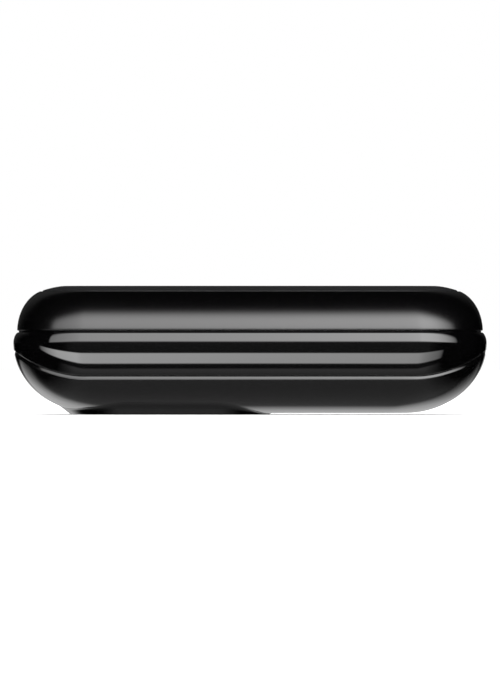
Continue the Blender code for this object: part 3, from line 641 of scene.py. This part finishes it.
BUTTON_RADIUS = 0.0055
STEM_RADIUS = 0.0022
FLANGE_REACH = 0.0010  # how far the button's flange stands out
FLANGE_LIFT = 0.0007
FLANGE_WALL = 0.0004
FLANGE_LOW = RECESS_FLOOR + FLANGE_LIFT
FLANGE_HIGH = FLANGE_LOW + FLANGE_WALL
DISH_SHARE = 0.82  # share of the button's radius that is dished
DISH_DEPTH = 0.0004
DISH_STEPS = 16
DISH_CENTRE = 0.02  # share of it at which the dish closes
PIPE_RADIUS = 0.0011
COLLAR_REACH = 0.0007  # how far the collar of a light pipe stands out
LENS_SHARE = 0.96  # share of the pipe's radius inside its rounded rim
LENS_DROP = 0.00018  # depth of the rim below the panel's top
LENS_DOME = 0.00014
LENS_STEPS = 8
LENS_CENTRE = 0.05

BEZEL_CORNER = 0.0010
WINDOW_CORNER = 0.0004
BEZEL_BULGE = 0.3  # share of its rounding by which the middle lies in from the corner
HEADER_BEZEL_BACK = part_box("header_bezel")[1].x
HEADER_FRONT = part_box("signal_header")[0].x
USB_BEZEL_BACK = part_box("usb_bezel")[0].x

SHROUD_WALL = 0.0013
SHROUD_LENGTH = 0.0088
SHROUD_FLOOR = 0.0020
SHROUD_EDGE = 0.00010
KEY_HALF = 0.0022
PIN_COLUMNS = 10
PIN_ROWS = 2
PIN_PITCH = 0.00254
PIN_SIDE = 0.00064
PIN_RISE = 0.0027  # height of the lower row over the board
PIN_SET_IN = 0.0022  # from the bezel's back to the pins' tips
PIN_TURN = 0.0006
PIN_TURN_STEPS = 5
PIN_TAPER = ((0.0, 0.45), (0.0001, 0.60), (0.0005, 1.0))  # share of the side, from the tip on
LEG_REACH = 0.0023  # from the shroud's back to the nearer row of legs
CAVITY_HEIGHT = 0.0059
CAVITY_END = 0.0010
CAVITY_HALF = PIN_COLUMNS * PIN_PITCH / 2 + CAVITY_END
CAVITY_MIDDLE = BOARD_TOP + PIN_RISE + PIN_PITCH / 2
CAVITY_LOW = CAVITY_MIDDLE - CAVITY_HEIGHT / 2
CAVITY_HIGH = CAVITY_MIDDLE + CAVITY_HEIGHT / 2

USB_CUT = 0.0009  # how much is cut off the socket's lower corners
USB_SHEET = 0.0004
USB_ROUND = 0.0004  # rounding of the sheet's outer corners
USB_INNER_ROUND = 0.0002
BLOCK_SET_IN = 0.0007  # from the sheet's outside to the insulator
BLOCK_DEPTH = 0.0026
TONGUE_LENGTH = 0.0052
TONGUE_HALF = 0.0023
TONGUE_RISE = 0.0004  # half of its thickness
TONGUE_EDGE = 0.00006
STRIP_COUNT = 5
STRIP_PITCH = 0.0008
STRIP_HALF = 0.0002
STRIP_LENGTH = 0.0048
STRIP_LOW = 0.00050  # depth of a contact strip under the tongue's middle
STRIP_HIGH = 0.00038
STRIP_EDGE = 0.00003


def middle(node):
    """The middle of a node's box."""
    low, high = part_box(node)
    return (low + high) / 2


SCREW_PLACES = [middle(f"housing_screw_{number}")[:2] for number in range(1, 5)]
BUTTON_PLACE = middle(BUTTON)[:2]
LIGHT_PLACES = [middle(f"light_pipe_{number}")[:2] for number in range(1, 4)]


# --- the housing's layers ---

def bezel_frame(node, clearance=0.0):
    """Half width, bottom, top and corner of a bezel's outline."""
    low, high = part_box(node)
    return high.y + clearance, low.z - clearance, high.z + clearance, BEZEL_CORNER


def end_openings(label):
    """Cutters for the openings that the two bezels fill."""
    header = rounded_rectangle(*bezel_frame("header_bezel", FIT))
    usb = rounded_rectangle(*bezel_frame("usb_bezel", FIT))
    return [prism_tool(label + " header", header, -LENGTH, HEADER_FRONT + SHROUD_WALL),
            prism_tool(label + " usb", usb, USB_BEZEL_BACK - FIT, LENGTH)]


def flank_height(x, y):
    """Height of the lower shell's outer surface at a place of the plan."""
    x = abs(x) / end_bow(y)
    y = abs(y) / side_bow(x)
    low = 0.0
    high = FLANK_REACH
    for _ in range(HALVINGS):
        inset = (low + high) / 2
        radius = CORNER - CORNER_SHRINK * inset
        over_x = max(x - LENGTH / 2 + inset + radius, 0.0)
        over_y = max(y - WIDTH / 2 + inset + radius, 0.0)
        if hypot(over_x, over_y) > radius:
            high = inset
        else:
            low = inset
    return APEX - FLANK_RISE * sqrt(max(0.0, 1 - (1 - low / FLANK_REACH) ** 2))


def foot_outline():
    """Places round the foot plate, each with its outward direction."""
    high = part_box("foot_plate")[1]
    corners = ((FOOT_LEFT, -1, 180), (high.x, -1, 270), (high.x, 1, 0), (FOOT_LEFT, 1, 90))
    places = []
    for end, side, start in corners:
        middle_x = end + (FOOT_CORNER if end == FOOT_LEFT else -FOOT_CORNER)
        middle_y = side * (high.y - FOOT_SET_IN - FOOT_CORNER)
        if start in (270, 90):
            first = places[-1]
            for share in BETWEEN:
                x = first[0] + (middle_x - first[0]) * share
                places.append((x, first[1], 0.0, float(side)))
        for angle in even(radians(start), radians(start + 90), FOOT_STEPS):
            out = (cos(angle), sin(angle))
            x = middle_x + FOOT_CORNER * out[0]
            places.append((x, middle_y + FOOT_CORNER * out[1], *out))
    return places


def foot_pocket():
    """Cutter for the pocket in the lower shell that takes the foot plate."""
    shape = bmesh.new()
    rings = []
    for height in (-WALL, FOOT_DEPTH + FIT):
        rings.append([shape.verts.new((x + out_x * CONTACT, y + out_y * CONTACT, height))
                      for x, y, out_x, out_y in foot_outline()])
    skin(shape, rings)
    return tool("pocket", shape)


def foot_column(x, y, out_x, out_y):
    """Up the plate's wall at one place, out over its flare, back under the flank and inside."""
    def at(reach, height):
        return x + reach * out_x, y + reach * out_y, height

    def over(reach):
        return at(reach, flank_height(*at(reach, 0.0)[:2]) - CONTACT)

    end = max(0.0, -out_x)
    lean = FOOT_LEAN + (FOOT_END_LEAN - FOOT_LEAN) * end ** FOOT_END_POWER
    rim = BASE
    for _ in range(SETTLINGS):
        rim = (rim + over(lean * rim)[2]) / 2
    edge = min(FINE_EDGE, rim / 5)
    foot = max(FLARE_START * rim, 2 * edge)
    flare = FOOT_FLARE * min(1.0, rim / FOOT_DEPTH) * (1 - FLARE_LOSS * end)
    column = bend(at(-edge, 0.0), at(0.0, 0.0), at(lean * edge, edge))
    reach = lean * rim
    column += bend(at(lean * foot, foot), at(reach, rim), over(reach + flare), 2 * EDGE_STEPS)
    column += [over(reach + flare * share) for share in (0.75, 0.5, 0.25, 0.0)]
    column.append(over(reach / 2))
    column.append(at(-FIT, min(rim, FOOT_DEPTH)))
    column.append(at(-2 * FIT, FOOT_DEPTH))
    return column


def make_lower_shell():
    """The shell with its screw bosses, the foot plate's pocket and both port openings."""
    shape = loft(bmesh.new(), lower_section, False)
    shell = piece("lower_shell_moulding", shape, LOWER)
    head = HEAD_RADIUS + FIT
    foot = BASE + WALL - FIT
    shoulder = HEAD_LOW + HEAD_HEIGHT + FIT
    boss = [(head + BOSS_WALL, foot), (head + BOSS_WALL, BOARD_LOW - FIT)]
    bore = [(head + FIT, BASE - WALL), (head, BASE + 3 * FIT), (head, shoulder)]
    shaft = [(SCREW_RADIUS + FIT, BASE - WALL), (SCREW_RADIUS + FIT, BOARD_TOP)]
    bosses = turned_tool("bosses", boss, SCREW_PLACES)
    heads = turned_tool("head bores", bore, SCREW_PLACES)
    shafts = turned_tool("shaft bores", shaft, SCREW_PLACES)
    carve(shell, [heads, shafts, foot_pocket(), *end_openings("lower")], [bosses])
    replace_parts(shell, "lower_shell")


def make_band():
    """The glossy band, open where the ports are."""
    band = piece("middle_band_moulding", loft(bmesh.new(), band_section, True), GLOSS)
    carve(band, end_openings("band"))
    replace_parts(band, "middle_band")


def make_upper_shell():
    """The shell with the bores for the button's stem and the light pipes."""
    shape = loft(bmesh.new(), upper_section, False)
    shell = piece("upper_shell_moulding", shape, SATIN)
    stem = [(STEM_RADIUS + FIT, BOARD_TOP), (STEM_RADIUS + FIT, TOP)]
    pipe = [(PIPE_RADIUS + FIT, BOARD_TOP), (PIPE_RADIUS + FIT, TOP)]
    carve(shell, [turned_tool("stem bore", stem, [BUTTON_PLACE]),
                  turned_tool("pipe bores", pipe, LIGHT_PLACES)])
    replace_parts(shell, "upper_shell")


def rimmed(radius):
    """Profile of a hole through the panel whose upper rim is rounded."""
    rim = bend((radius, TOP - 2 * FINE_EDGE), (radius, TOP), (radius + 2 * FINE_EDGE, TOP))
    return rim + [(radius + 2 * FINE_EDGE, TOP + FIT)]


def make_top_panel():
    """The panel, with holes for the button and the lights."""
    panel = piece("top_panel_moulding", loft(bmesh.new(), panel_section, False), PANEL)
    hole = BUTTON_RADIUS + FIT
    flange = hole + FLANGE_REACH
    ceiling = FLANGE_HIGH + FIT
    button = [(flange, BOARD_TOP), (flange, ceiling), (hole, ceiling)] + rimmed(hole)
    pipe = [(PIPE_RADIUS + FIT, BOARD_TOP)] + rimmed(PIPE_RADIUS + FIT)
    carve(panel, [turned_tool("button hole", button, [BUTTON_PLACE]),
                  turned_tool("pipe holes", pipe, LIGHT_PLACES, PIPE_STEPS)])
    flatten(panel)
    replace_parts(panel, "top_panel")


def make_foot_plate():
    """The plate stands out of its pocket and flares on to the flank round it."""
    shape = bmesh.new()
    columns = []
    for place in foot_outline():
        columns.append([shape.verts.new(point) for point in foot_column(*place)])
    skin(shape, [list(ring) for ring in zip(*columns)])
    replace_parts(piece("foot_plate_moulding", shape, FOOT), "foot_plate")


# --- ports ---

def end_face(side, y, z):
    """X of the housing's outer surface over an end, at a place of it."""
    return side * (LENGTH / 2 - flank_inset(z) - FIT / 3) * end_bow(y)


def make_bezel(name, node, side, window, back):
    """A frame whose face follows the housing's end, with rounded edges and a window."""
    outer = bezel_frame(node)

    def outline(share, grown=0.0):
        """Part of the way from the outer outline to the window's, or either one grown."""
        if grown:
            half, low, high, radius = window if share else outer
            return rounded_rectangle(half + grown, low - grown, high + grown, radius)
        return [(first[0] + (last[0] - first[0]) * share, first[1] + (last[1] - first[1]) * share)
                for first, last in zip(rounded_rectangle(*outer), rounded_rectangle(*window))]

    def ring(share, grown, sink):
        """An outline on the end's face, sunk a little into it."""
        return [shape.verts.new((end_face(side, y, z) - side * sink, y, z))
                for y, z in outline(share, grown)]

    shape = bmesh.new()
    bulge = BEZEL_BULGE * FINE_EDGE
    steps = [(0.0, 0.0, FINE_EDGE), (0.0, -bulge, bulge), (0.0, -FINE_EDGE, 0.0)]
    steps += [(share, 0.0, 0.0) for share in BETWEEN]
    steps += [(1.0, FINE_EDGE, 0.0), (1.0, bulge, bulge), (1.0, 0.0, FINE_EDGE)]
    rings = [[shape.verts.new((back, y, z)) for y, z in outline(0.0)]]
    rings += [ring(*step) for step in steps]
    rings.append([shape.verts.new((back, y, z)) for y, z in outline(1.0)])
    skin(shape, rings, True)
    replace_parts(piece(name, shape, PORT), node)


def make_bezels():
    """The frames of the two ports, flush with the ends."""
    window = (CAVITY_HALF, CAVITY_LOW, CAVITY_HIGH, WINDOW_CORNER)
    make_bezel("header_bezel_moulding", "header_bezel", -1, window, HEADER_BEZEL_BACK)
    low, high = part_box("usb_socket_shell")
    window = (high.y + FIT, low.z - FIT, high.z + FIT, WINDOW_CORNER)
    make_bezel("usb_bezel_moulding", "usb_bezel", 1, window, USB_BEZEL_BACK)


def make_header():
    """The shroud, with a key slot, and its pins."""
    rear = HEADER_FRONT + SHROUD_LENGTH
    inside = rear - SHROUD_FLOOR
    half = CAVITY_HALF + SHROUD_WALL
    shape = bmesh.new()
    put_box(shape, (HEADER_FRONT, -half, BOARD_TOP + FIT), (rear, half, CAVITY_HIGH + SHROUD_WALL))
    shroud = piece("header_shroud", shape, SHROUD)
    window = rounded_rectangle(CAVITY_HALF, CAVITY_LOW, CAVITY_HIGH, WINDOW_CORNER)
    cavity = prism_tool("cavity", window, HEADER_FRONT - WALL, inside)
    key = bmesh.new()
    put_box(key, (HEADER_FRONT - WALL, -KEY_HALF, CAVITY_HIGH - FIT),
            (inside, KEY_HALF, CAVITY_HIGH + SHROUD_WALL + WALL))
    carve(shroud, [cavity, tool("key", key)])
    soften(shroud, SHROUD_EDGE)
    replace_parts(shroud, "signal_header")
    make_pins(rear)


def make_pins(rear):
    """Gold pins with tapered tips, bent down to the board behind the shroud."""
    shape = bmesh.new()
    tip = HEADER_BEZEL_BACK + PIN_SET_IN
    for column in range(PIN_COLUMNS):
        across = (column - (PIN_COLUMNS - 1) / 2) * PIN_PITCH
        for row in range(PIN_ROWS):
            height = BOARD_TOP + PIN_RISE + row * PIN_PITCH
            leg = rear + LEG_REACH + row * PIN_PITCH
            put_pin(shape, across, height, leg, tip)
    piece("header_pins", shape, GOLD)


def put_pin(shape, across, height, leg, tip):
    """A square pin along a path of (x, z, angle, share of its side)."""
    path = [(tip + back, height, 0.0, scale) for back, scale in PIN_TAPER]
    for angle in even(0.0, pi / 2, PIN_TURN_STEPS):
        x = leg - PIN_TURN + PIN_TURN * sin(angle)
        path.append((x, height - PIN_TURN + PIN_TURN * cos(angle), angle, 1.0))
    path.append((leg, BOARD_TOP + FIT, pi / 2, 1.0))
    rings = []
    for x, z, angle, scale in path:
        half = PIN_SIDE / 2 * scale
        ring = []
        for side, lift in ((-1, -1), (1, -1), (1, 1), (-1, 1)):
            rise = lift * half
            ring.append(shape.verts.new((x + rise * sin(angle), across + side * half,
                                         z + rise * cos(angle))))
        rings.append(ring)
    skin(shape, rings)


def usb_outline(sink, rounding):
    """The socket's section: its two lower corners are cut off, and every corner is rounded."""
    low_corner, high_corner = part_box("usb_socket_shell")
    half = high_corner.y - sink
    low = low_corner.z + sink
    high = high_corner.z - sink
    corners = [(-half + USB_CUT, low), (half - USB_CUT, low), (half, low + USB_CUT), (half, high),
               (-half, high), (-half, low + USB_CUT)]
    points = []
    for index, corner in enumerate(corners):
        here = Vector(corner)
        before = (Vector(corners[index - 1]) - here).normalized() * rounding
        after = (Vector(corners[(index + 1) % len(corners)]) - here).normalized() * rounding
        points += bend(here + before, here, here + after)
    return points


def make_usb_socket():
    """A folded steel shell round an insulator whose tongue carries five contacts."""
    low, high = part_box("usb_socket_shell")
    edge = USB_SHEET / 4
    shape = bmesh.new()
    levels = [
        (low.x, 0.0, USB_ROUND), (high.x - edge, 0.0, USB_ROUND), (high.x, edge, USB_ROUND * 0.9),
        (high.x, USB_SHEET - edge, USB_INNER_ROUND * 1.2), (high.x - edge, USB_SHEET, USB_INNER_ROUND),
        (low.x + USB_SHEET, USB_SHEET, USB_INNER_ROUND),
    ]
    rings = [[shape.verts.new((x, y, z)) for y, z in usb_outline(sink, rounding)]
             for x, sink, rounding in levels]
    skin(shape, rings)
    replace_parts(piece("usb_shell_pressing", shape, STEEL), "usb_socket_shell")
    make_usb_insulator(low.x + BLOCK_SET_IN, (low.z + high.z) / 2)


def make_usb_insulator(back, height):
    """The socket's block, its tongue and the strips under the tongue."""
    front = back + BLOCK_DEPTH
    shape = bmesh.new()
    put_prism(shape, usb_outline(BLOCK_SET_IN, USB_INNER_ROUND), back, front)
    put_box(shape, (front - FIT, -TONGUE_HALF, height - TONGUE_RISE),
            (front + TONGUE_LENGTH, TONGUE_HALF, height + TONGUE_RISE))
    block = piece("usb_tongue", shape, SHROUD)
    soften(block, TONGUE_EDGE)
    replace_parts(block, "usb_insulator")
    strips = bmesh.new()
    for number in range(STRIP_COUNT):
        across = (number - (STRIP_COUNT - 1) / 2) * STRIP_PITCH
        put_box(strips, (front, across - STRIP_HALF, height - STRIP_LOW),
                (front + STRIP_LENGTH, across + STRIP_HALF, height - STRIP_HIGH))
    soften(piece("usb_contacts", strips, GOLD), STRIP_EDGE)


# --- fasteners, button and lights ---

def make_screws():
    """Black screws with a rounded head edge, a thread and a hexagonal drive."""
    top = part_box("housing_screw_1")[1].z
    neck = HEAD_LOW + HEAD_HEIGHT
    profile = bend((HEAD_RADIUS - EDGE, HEAD_LOW), (HEAD_RADIUS, HEAD_LOW), (HEAD_RADIUS, HEAD_LOW + EDGE))
    profile += [(HEAD_RADIUS, neck), (SCREW_RADIUS, neck)]
    for turn in range(int((top - neck) / THREAD_PITCH)):
        height = neck + THREAD_START + turn * THREAD_PITCH
        profile += [(SCREW_RADIUS, height), (SCREW_RADIUS - THREAD_DEPTH, height + THREAD_RISE)]
    profile.append((SCREW_RADIUS - FIT, top))
    mouth = DRIVE_RADIUS + DRIVE_CHAMFER
    drive = [(mouth, BASE - WALL), (mouth, HEAD_LOW - FIT),
             (DRIVE_RADIUS, HEAD_LOW + DRIVE_CHAMFER), (DRIVE_RADIUS, HEAD_LOW + DRIVE_DEPTH)]
    for number, place in enumerate(SCREW_PLACES, 1):
        shape = bmesh.new()
        put_turned(shape, profile, place, SCREW_STEPS)
        screw = piece(f"screw_{number}", shape, ZINC)
        carve(screw, [turned_tool("drive", drive, [place], DRIVE_SIDES)])
        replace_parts(screw, f"housing_screw_{number}")


def make_button():
    """A cap with a shallow dish and a rounded rim, over its flange and stem."""
    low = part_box(BUTTON)[0].z
    flange = BUTTON_RADIUS + FLANGE_REACH
    profile = [(STEM_RADIUS - FIT, low), (STEM_RADIUS, low + FIT), (STEM_RADIUS, FLANGE_LOW)]
    profile += [(flange, FLANGE_LOW), (flange, FLANGE_HIGH), (BUTTON_RADIUS, FLANGE_HIGH)]
    profile += bend((BUTTON_RADIUS, TOP - EDGE), (BUTTON_RADIUS, TOP), (BUTTON_RADIUS - EDGE, TOP))
    for share in even(1.0, DISH_CENTRE, DISH_STEPS):
        depth = DISH_DEPTH * (1 + cos(pi * share)) / 2
        profile.append((BUTTON_RADIUS * DISH_SHARE * share, TOP - depth))
    shape = bmesh.new()
    put_turned(shape, profile, BUTTON_PLACE)
    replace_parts(piece("button_cap", shape, CAP, BUTTON), BUTTON)


def make_light_pipes():
    """Each pipe ends in a slightly domed lens, flush with the panel."""
    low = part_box("light_pipe_1")[0].z
    collar = DECK_LOW - FIT
    wide = PIPE_RADIUS + COLLAR_REACH
    profile = [(PIPE_RADIUS, low), (PIPE_RADIUS, collar - 2 * FIT), (wide, collar - 2 * FIT),
               (wide, collar), (PIPE_RADIUS, collar), (PIPE_RADIUS, TOP - LENS_DROP)]
    for share in even(LENS_SHARE, LENS_CENTRE, LENS_STEPS):
        profile.append((PIPE_RADIUS * share, TOP - LENS_DOME * share * share))
    for number, place in enumerate(LIGHT_PLACES, 1):
        shape = bmesh.new()
        put_turned(shape, profile, place, PIPE_STEPS)
        pipe = piece(f"light_lens_{number}", shape, LENS)
        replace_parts(pipe, f"light_pipe_{number}")


def finish_hidden_nodes():
    """The sealed inside keeps its solids and gets finished materials."""
    finishes = {
        "main_board": MASK, "fpga_chip": EPOXY, "memory_chip": EPOXY, "input_buffer": EPOXY,
        "usb_controller_chip": EPOXY, "resistor_array": CERAMIC, "crystal_can": STEEL,
        "power_inductor": FERRITE, "capacitor": TIN, "status_led": CERAMIC, "threaded_insert": BRASS,
        "board_screw": STEEL, "switch": SHROUD,
    }
    for name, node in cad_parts.items():
        for start, finish in finishes.items():
            if name.startswith(start):
                node.data.materials.clear()
                node.data.materials.append(finish)


# --- studio ---

CAMERA_DISTANCE = 4.0
CAMERA_HEIGHT = 0.0136
VIEW_TALL = 0.1481  # height of the view at the housing's middle
SENSOR = 36.0  # in millimetres
CLIP_END = 50.0
FLOOR_REACH = 8.0
WHITE_NEAR = 0.12  # from here outwards the floor is whiter by itself
WHITE_FAR = 0.60  # and from here on fully white
WHITE_LEAST = 0.35
FILL = 0.25  # light of the world on the object
LAMP_AIM = (0.0, 0.0, 0.01)
TENT_RADIUS = 5.0
TENT_LIGHT = 4.0  # light of the tent where its pattern is 1

# What the tent shows, by the angle up from the front horizon, in degrees
UPPER_SHEET = (
    (1.6, 0), (4.1, 0.86), (26, 0.88), (31, 0.80), (36, 0.59), (40, 0.36), (44, 0.15),
    (48, 0.04), (52, 0),
)
LOWER_SHEET = ((-39.6, 0), (-38.2, 0.76), (-19.9, 0.80), (-18.3, 0))
# The front ground stands for the floor in reflections, painted dim as painted shade of the floor under and
# in front of the housing
SHADED_FRONT_GROUND = (
    (-132, 0), (-126, 0.042), (-90, 0.044), (-62, 0.055), (-50, 0.085), (-48, 0.010),
    (-18, 0.015), (5, 0.018), (46, 0),
)
BACK_GROUND = (
    (-168, 0), (-163, 0.150), (-150, 0.185), (-140, 0.15), (-134, 0.05),
    (-126, 0), (132, 0), (141, 0.010), (165, 0.007), (180, 0.004),
)
BACK_HORIZON = ((-180, 0.11), (-172, 0.131), (-168, 0.143), (-163, 0))
# How far the sheets reach to either side, by the angle round from straight in front
UPPER_REACH = (
    (-59, 0), (-57, 0.45), (-45, 0.58), (-30, 0.66), (-10, 0.78), (-2.5, 0.92),
    (0, 0.97), (2.6, 1.12), (8, 1.38), (24, 1.34), (35, 1.25), (49, 0.95), (60, 0.62),
    (68, 0.30), (71, 0),
)
LOWER_REACH = (
    (-78, 0), (-74, 0.30), (-62, 0.80), (-46, 1.25), (-20, 1.33), (-12, 1.35), (-3, 1.1),
    (0, 1), (3, 0.95), (12, 0.72), (27, 0.52), (38, 0.40), (44, 0.25), (47, 0),
)
# How far the ground reaches to either side, by the share of the direction that points sideways
FRONT_SIDES = ((-0.62, 0), (-0.28, 1), (0.28, 1), (0.62, 0))
BACK_SIDES = (
    (-0.80, 0), (-0.66, 0.5), (-0.50, 1), (-0.35, 1.3), (-0.20, 1.2), (-0.08, 1), (0.15, 1),
    (0.38, 0.5), (0.62, 0),
)
HORIZON_SIDES = ((-0.30, 0), (-0.14, 1), (0.14, 1), (0.30, 0))


def make_camera():
    """A long lens that looks level at the front."""
    camera = bpy.data.objects.new("camera", bpy.data.cameras.new("camera"))
    bpy.context.scene.collection.objects.link(camera)
    camera.location = (0.0, -CAMERA_DISTANCE, CAMERA_HEIGHT)
    camera.rotation_euler = (pi / 2, 0.0, 0.0)
    camera.data.sensor_width = SENSOR
    camera.data.lens = SENSOR * CAMERA_DISTANCE / VIEW_TALL
    camera.data.clip_end = CLIP_END
    bpy.context.scene.camera = camera


def backdrop_rays(made):
    """1 for camera, glossy and transmission rays, 0 for the rays that light the object."""
    path = add_node(made, "LightPath")
    total = path.outputs["Is Camera Ray"]
    for kind in ("Is Glossy Ray", "Is Transmission Ray"):
        total = reckon(made, "MAXIMUM", total, path.outputs[kind])
    return total


def make_world():
    """White to look at, and a faint fill as light."""
    world = bpy.data.worlds.new("white studio")
    world.use_nodes = True
    bpy.context.scene.world = world
    background = world.node_tree.nodes["Background"]
    level = remap(world, backdrop_rays(world), 0.0, 1.0, FILL, 1.0)
    world.node_tree.links.new(level, background.inputs["Strength"])
    background.inputs["Color"].default_value = (1.0, 1.0, 1.0, 1.0)


def floor_whiteness(made):
    """How white the floor is by itself: fully where the lamps' light ends."""
    place = add_node(made, "TexCoord")
    reach = add_node(made, "VectorMath", operation="LENGTH")
    made.node_tree.links.new(place.outputs["Object"], reach.inputs[0])
    return remap(made, reach.outputs["Value"], WHITE_NEAR, WHITE_FAR, WHITE_LEAST, 1.0)


def make_floor():
    """A pale matt floor that keeps the object's shadow."""
    shape = bmesh.new()
    corners = [(-1, -1), (1, -1), (1, 1), (-1, 1)]
    shape.faces.new([shape.verts.new((x * FLOOR_REACH, y * FLOOR_REACH, -CONTACT)) for x, y in corners])
    floor = new_object("floor", shape)
    made, shader, link = new_material("white floor")
    pale = tint(made, noise(made, 40.0), (0.86, 0.86, 0.86), (0.88, 0.88, 0.88))
    link(pale, shader["Base Color"])
    shader["Roughness"].default_value = 0.9
    shader["Specular IOR Level"].default_value = 0.1
    shader["Emission Color"].default_value = (1.0, 1.0, 1.0, 1.0)
    lift = reckon(made, "MULTIPLY", backdrop_rays(made), floor_whiteness(made))
    link(lift, shader["Emission Strength"])
    floor.data.materials.append(made)
    # In reflections the tent's front ground stands for the floor, with the floor's shade painted in
    floor.visible_glossy = False


def area_lamp(name, place, size, power):
    """A soft rectangular lamp. The tent stands for it in reflections."""
    light = bpy.data.lights.new(name, "AREA")
    light.shape = "RECTANGLE"
    light.size, light.size_y = size
    light.energy = power
    lamp = bpy.data.objects.new(name, light)
    bpy.context.scene.collection.objects.link(lamp)
    lamp.location = place
    lamp.rotation_euler = (Vector(LAMP_AIM) - Vector(place)).to_track_quat("-Z", "Y").to_euler()
    lamp.visible_camera = False
    lamp.visible_glossy = False


def make_lamps():
    """Soft light from the front, above and behind."""
    area_lamp("front softbox", (0.05, -0.75, 0.62), (1.8, 0.9), 15.0)
    area_lamp("top softbox", (0.0, 0.10, 1.10), (1.4, 1.4), 9.0)
    area_lamp("back softbox", (0.0, 1.00, 0.60), (1.6, 0.8), 9.0)


def grey(made, source, stops, limit):
    """A grey level by a value between -limit and limit."""
    share = remap(made, source, -limit, limit, 0.0, 1.0)
    return shades(made, share, [((value / limit + 1) / 2, (level,) * 3) for value, level in stops])


def make_tent():
    """A sphere of white sheets and black flags, seen only in gloss, with the floor's shade painted into
    its ground.
    """
    shape = bmesh.new()
    bmesh.ops.create_uvsphere(shape, u_segments=48, v_segments=24, radius=TENT_RADIUS)
    tent = new_object("tent", shape)
    tent.data.materials.append(tent_material())
    tent.visible_camera = False
    tent.visible_diffuse = False
    tent.visible_transmission = False
    tent.visible_shadow = False
    tent.visible_volume_scatter = False


def angle_round(made, first, second):
    """The angle of a direction from two of its parts, in degrees."""
    return reckon(made, "DEGREES", reckon(made, "ARCTAN2", first, second))


def tent_material():
    """Each part of the tent is a pattern up and down, times how far it reaches sideways."""
    made = bpy.data.materials.new("sheets and flags")
    made.use_nodes = True
    nodes = made.node_tree.nodes
    nodes.remove(nodes["Principled BSDF"])
    link = made.node_tree.links.new
    place = add_node(made, "TexCoord")
    direction = add_node(made, "VectorMath", operation="NORMALIZE")
    link(place.outputs["Object"], direction.inputs[0])
    axes = add_node(made, "SeparateXYZ")
    link(direction.outputs[0], axes.inputs["Vector"])
    front = add_node(made, "Math", operation="MULTIPLY")
    front.inputs[1].default_value = -1.0
    link(axes.outputs["Y"], front.inputs[0])
    rise = angle_round(made, axes.outputs["Z"], front.outputs[0])
    turn = angle_round(made, axes.outputs["X"], front.outputs[0])
    side = axes.outputs["X"]
    total = None
    for sheet, across, reach, limit in (
        (UPPER_SHEET, turn, UPPER_REACH, 180.0), (LOWER_SHEET, turn, LOWER_REACH, 180.0),
        (SHADED_FRONT_GROUND, side, FRONT_SIDES, 1.0), (BACK_GROUND, side, BACK_SIDES, 1.0),
        (BACK_HORIZON, side, HORIZON_SIDES, 1.0),
    ):
        lit = add_node(made, "VectorMath", operation="MULTIPLY_ADD")
        link(grey(made, rise, sheet, 180.0), lit.inputs[0])
        link(grey(made, across, reach, limit), lit.inputs[1])
        if total:
            link(total, lit.inputs[2])
        total = lit.outputs[0]
    glow = add_node(made, "Emission", Strength=TENT_LIGHT)
    link(total, glow.inputs["Color"])
    link(glow.outputs[0], nodes["Material Output"].inputs["Surface"])
    return made


def main():
    """Build and finish the pieces, then the studio."""
    make_camera()
    make_lower_shell()
    make_band()
    make_upper_shell()
    make_top_panel()
    make_foot_plate()
    make_bezels()
    make_header()
    make_usb_socket()
    make_screws()
    make_button()
    make_light_pipes()
    finish_hidden_nodes()
    make_world()
    make_floor()
    make_lamps()
    make_tent()
    bpy.context.scene.view_settings.view_transform = "Standard"


main()
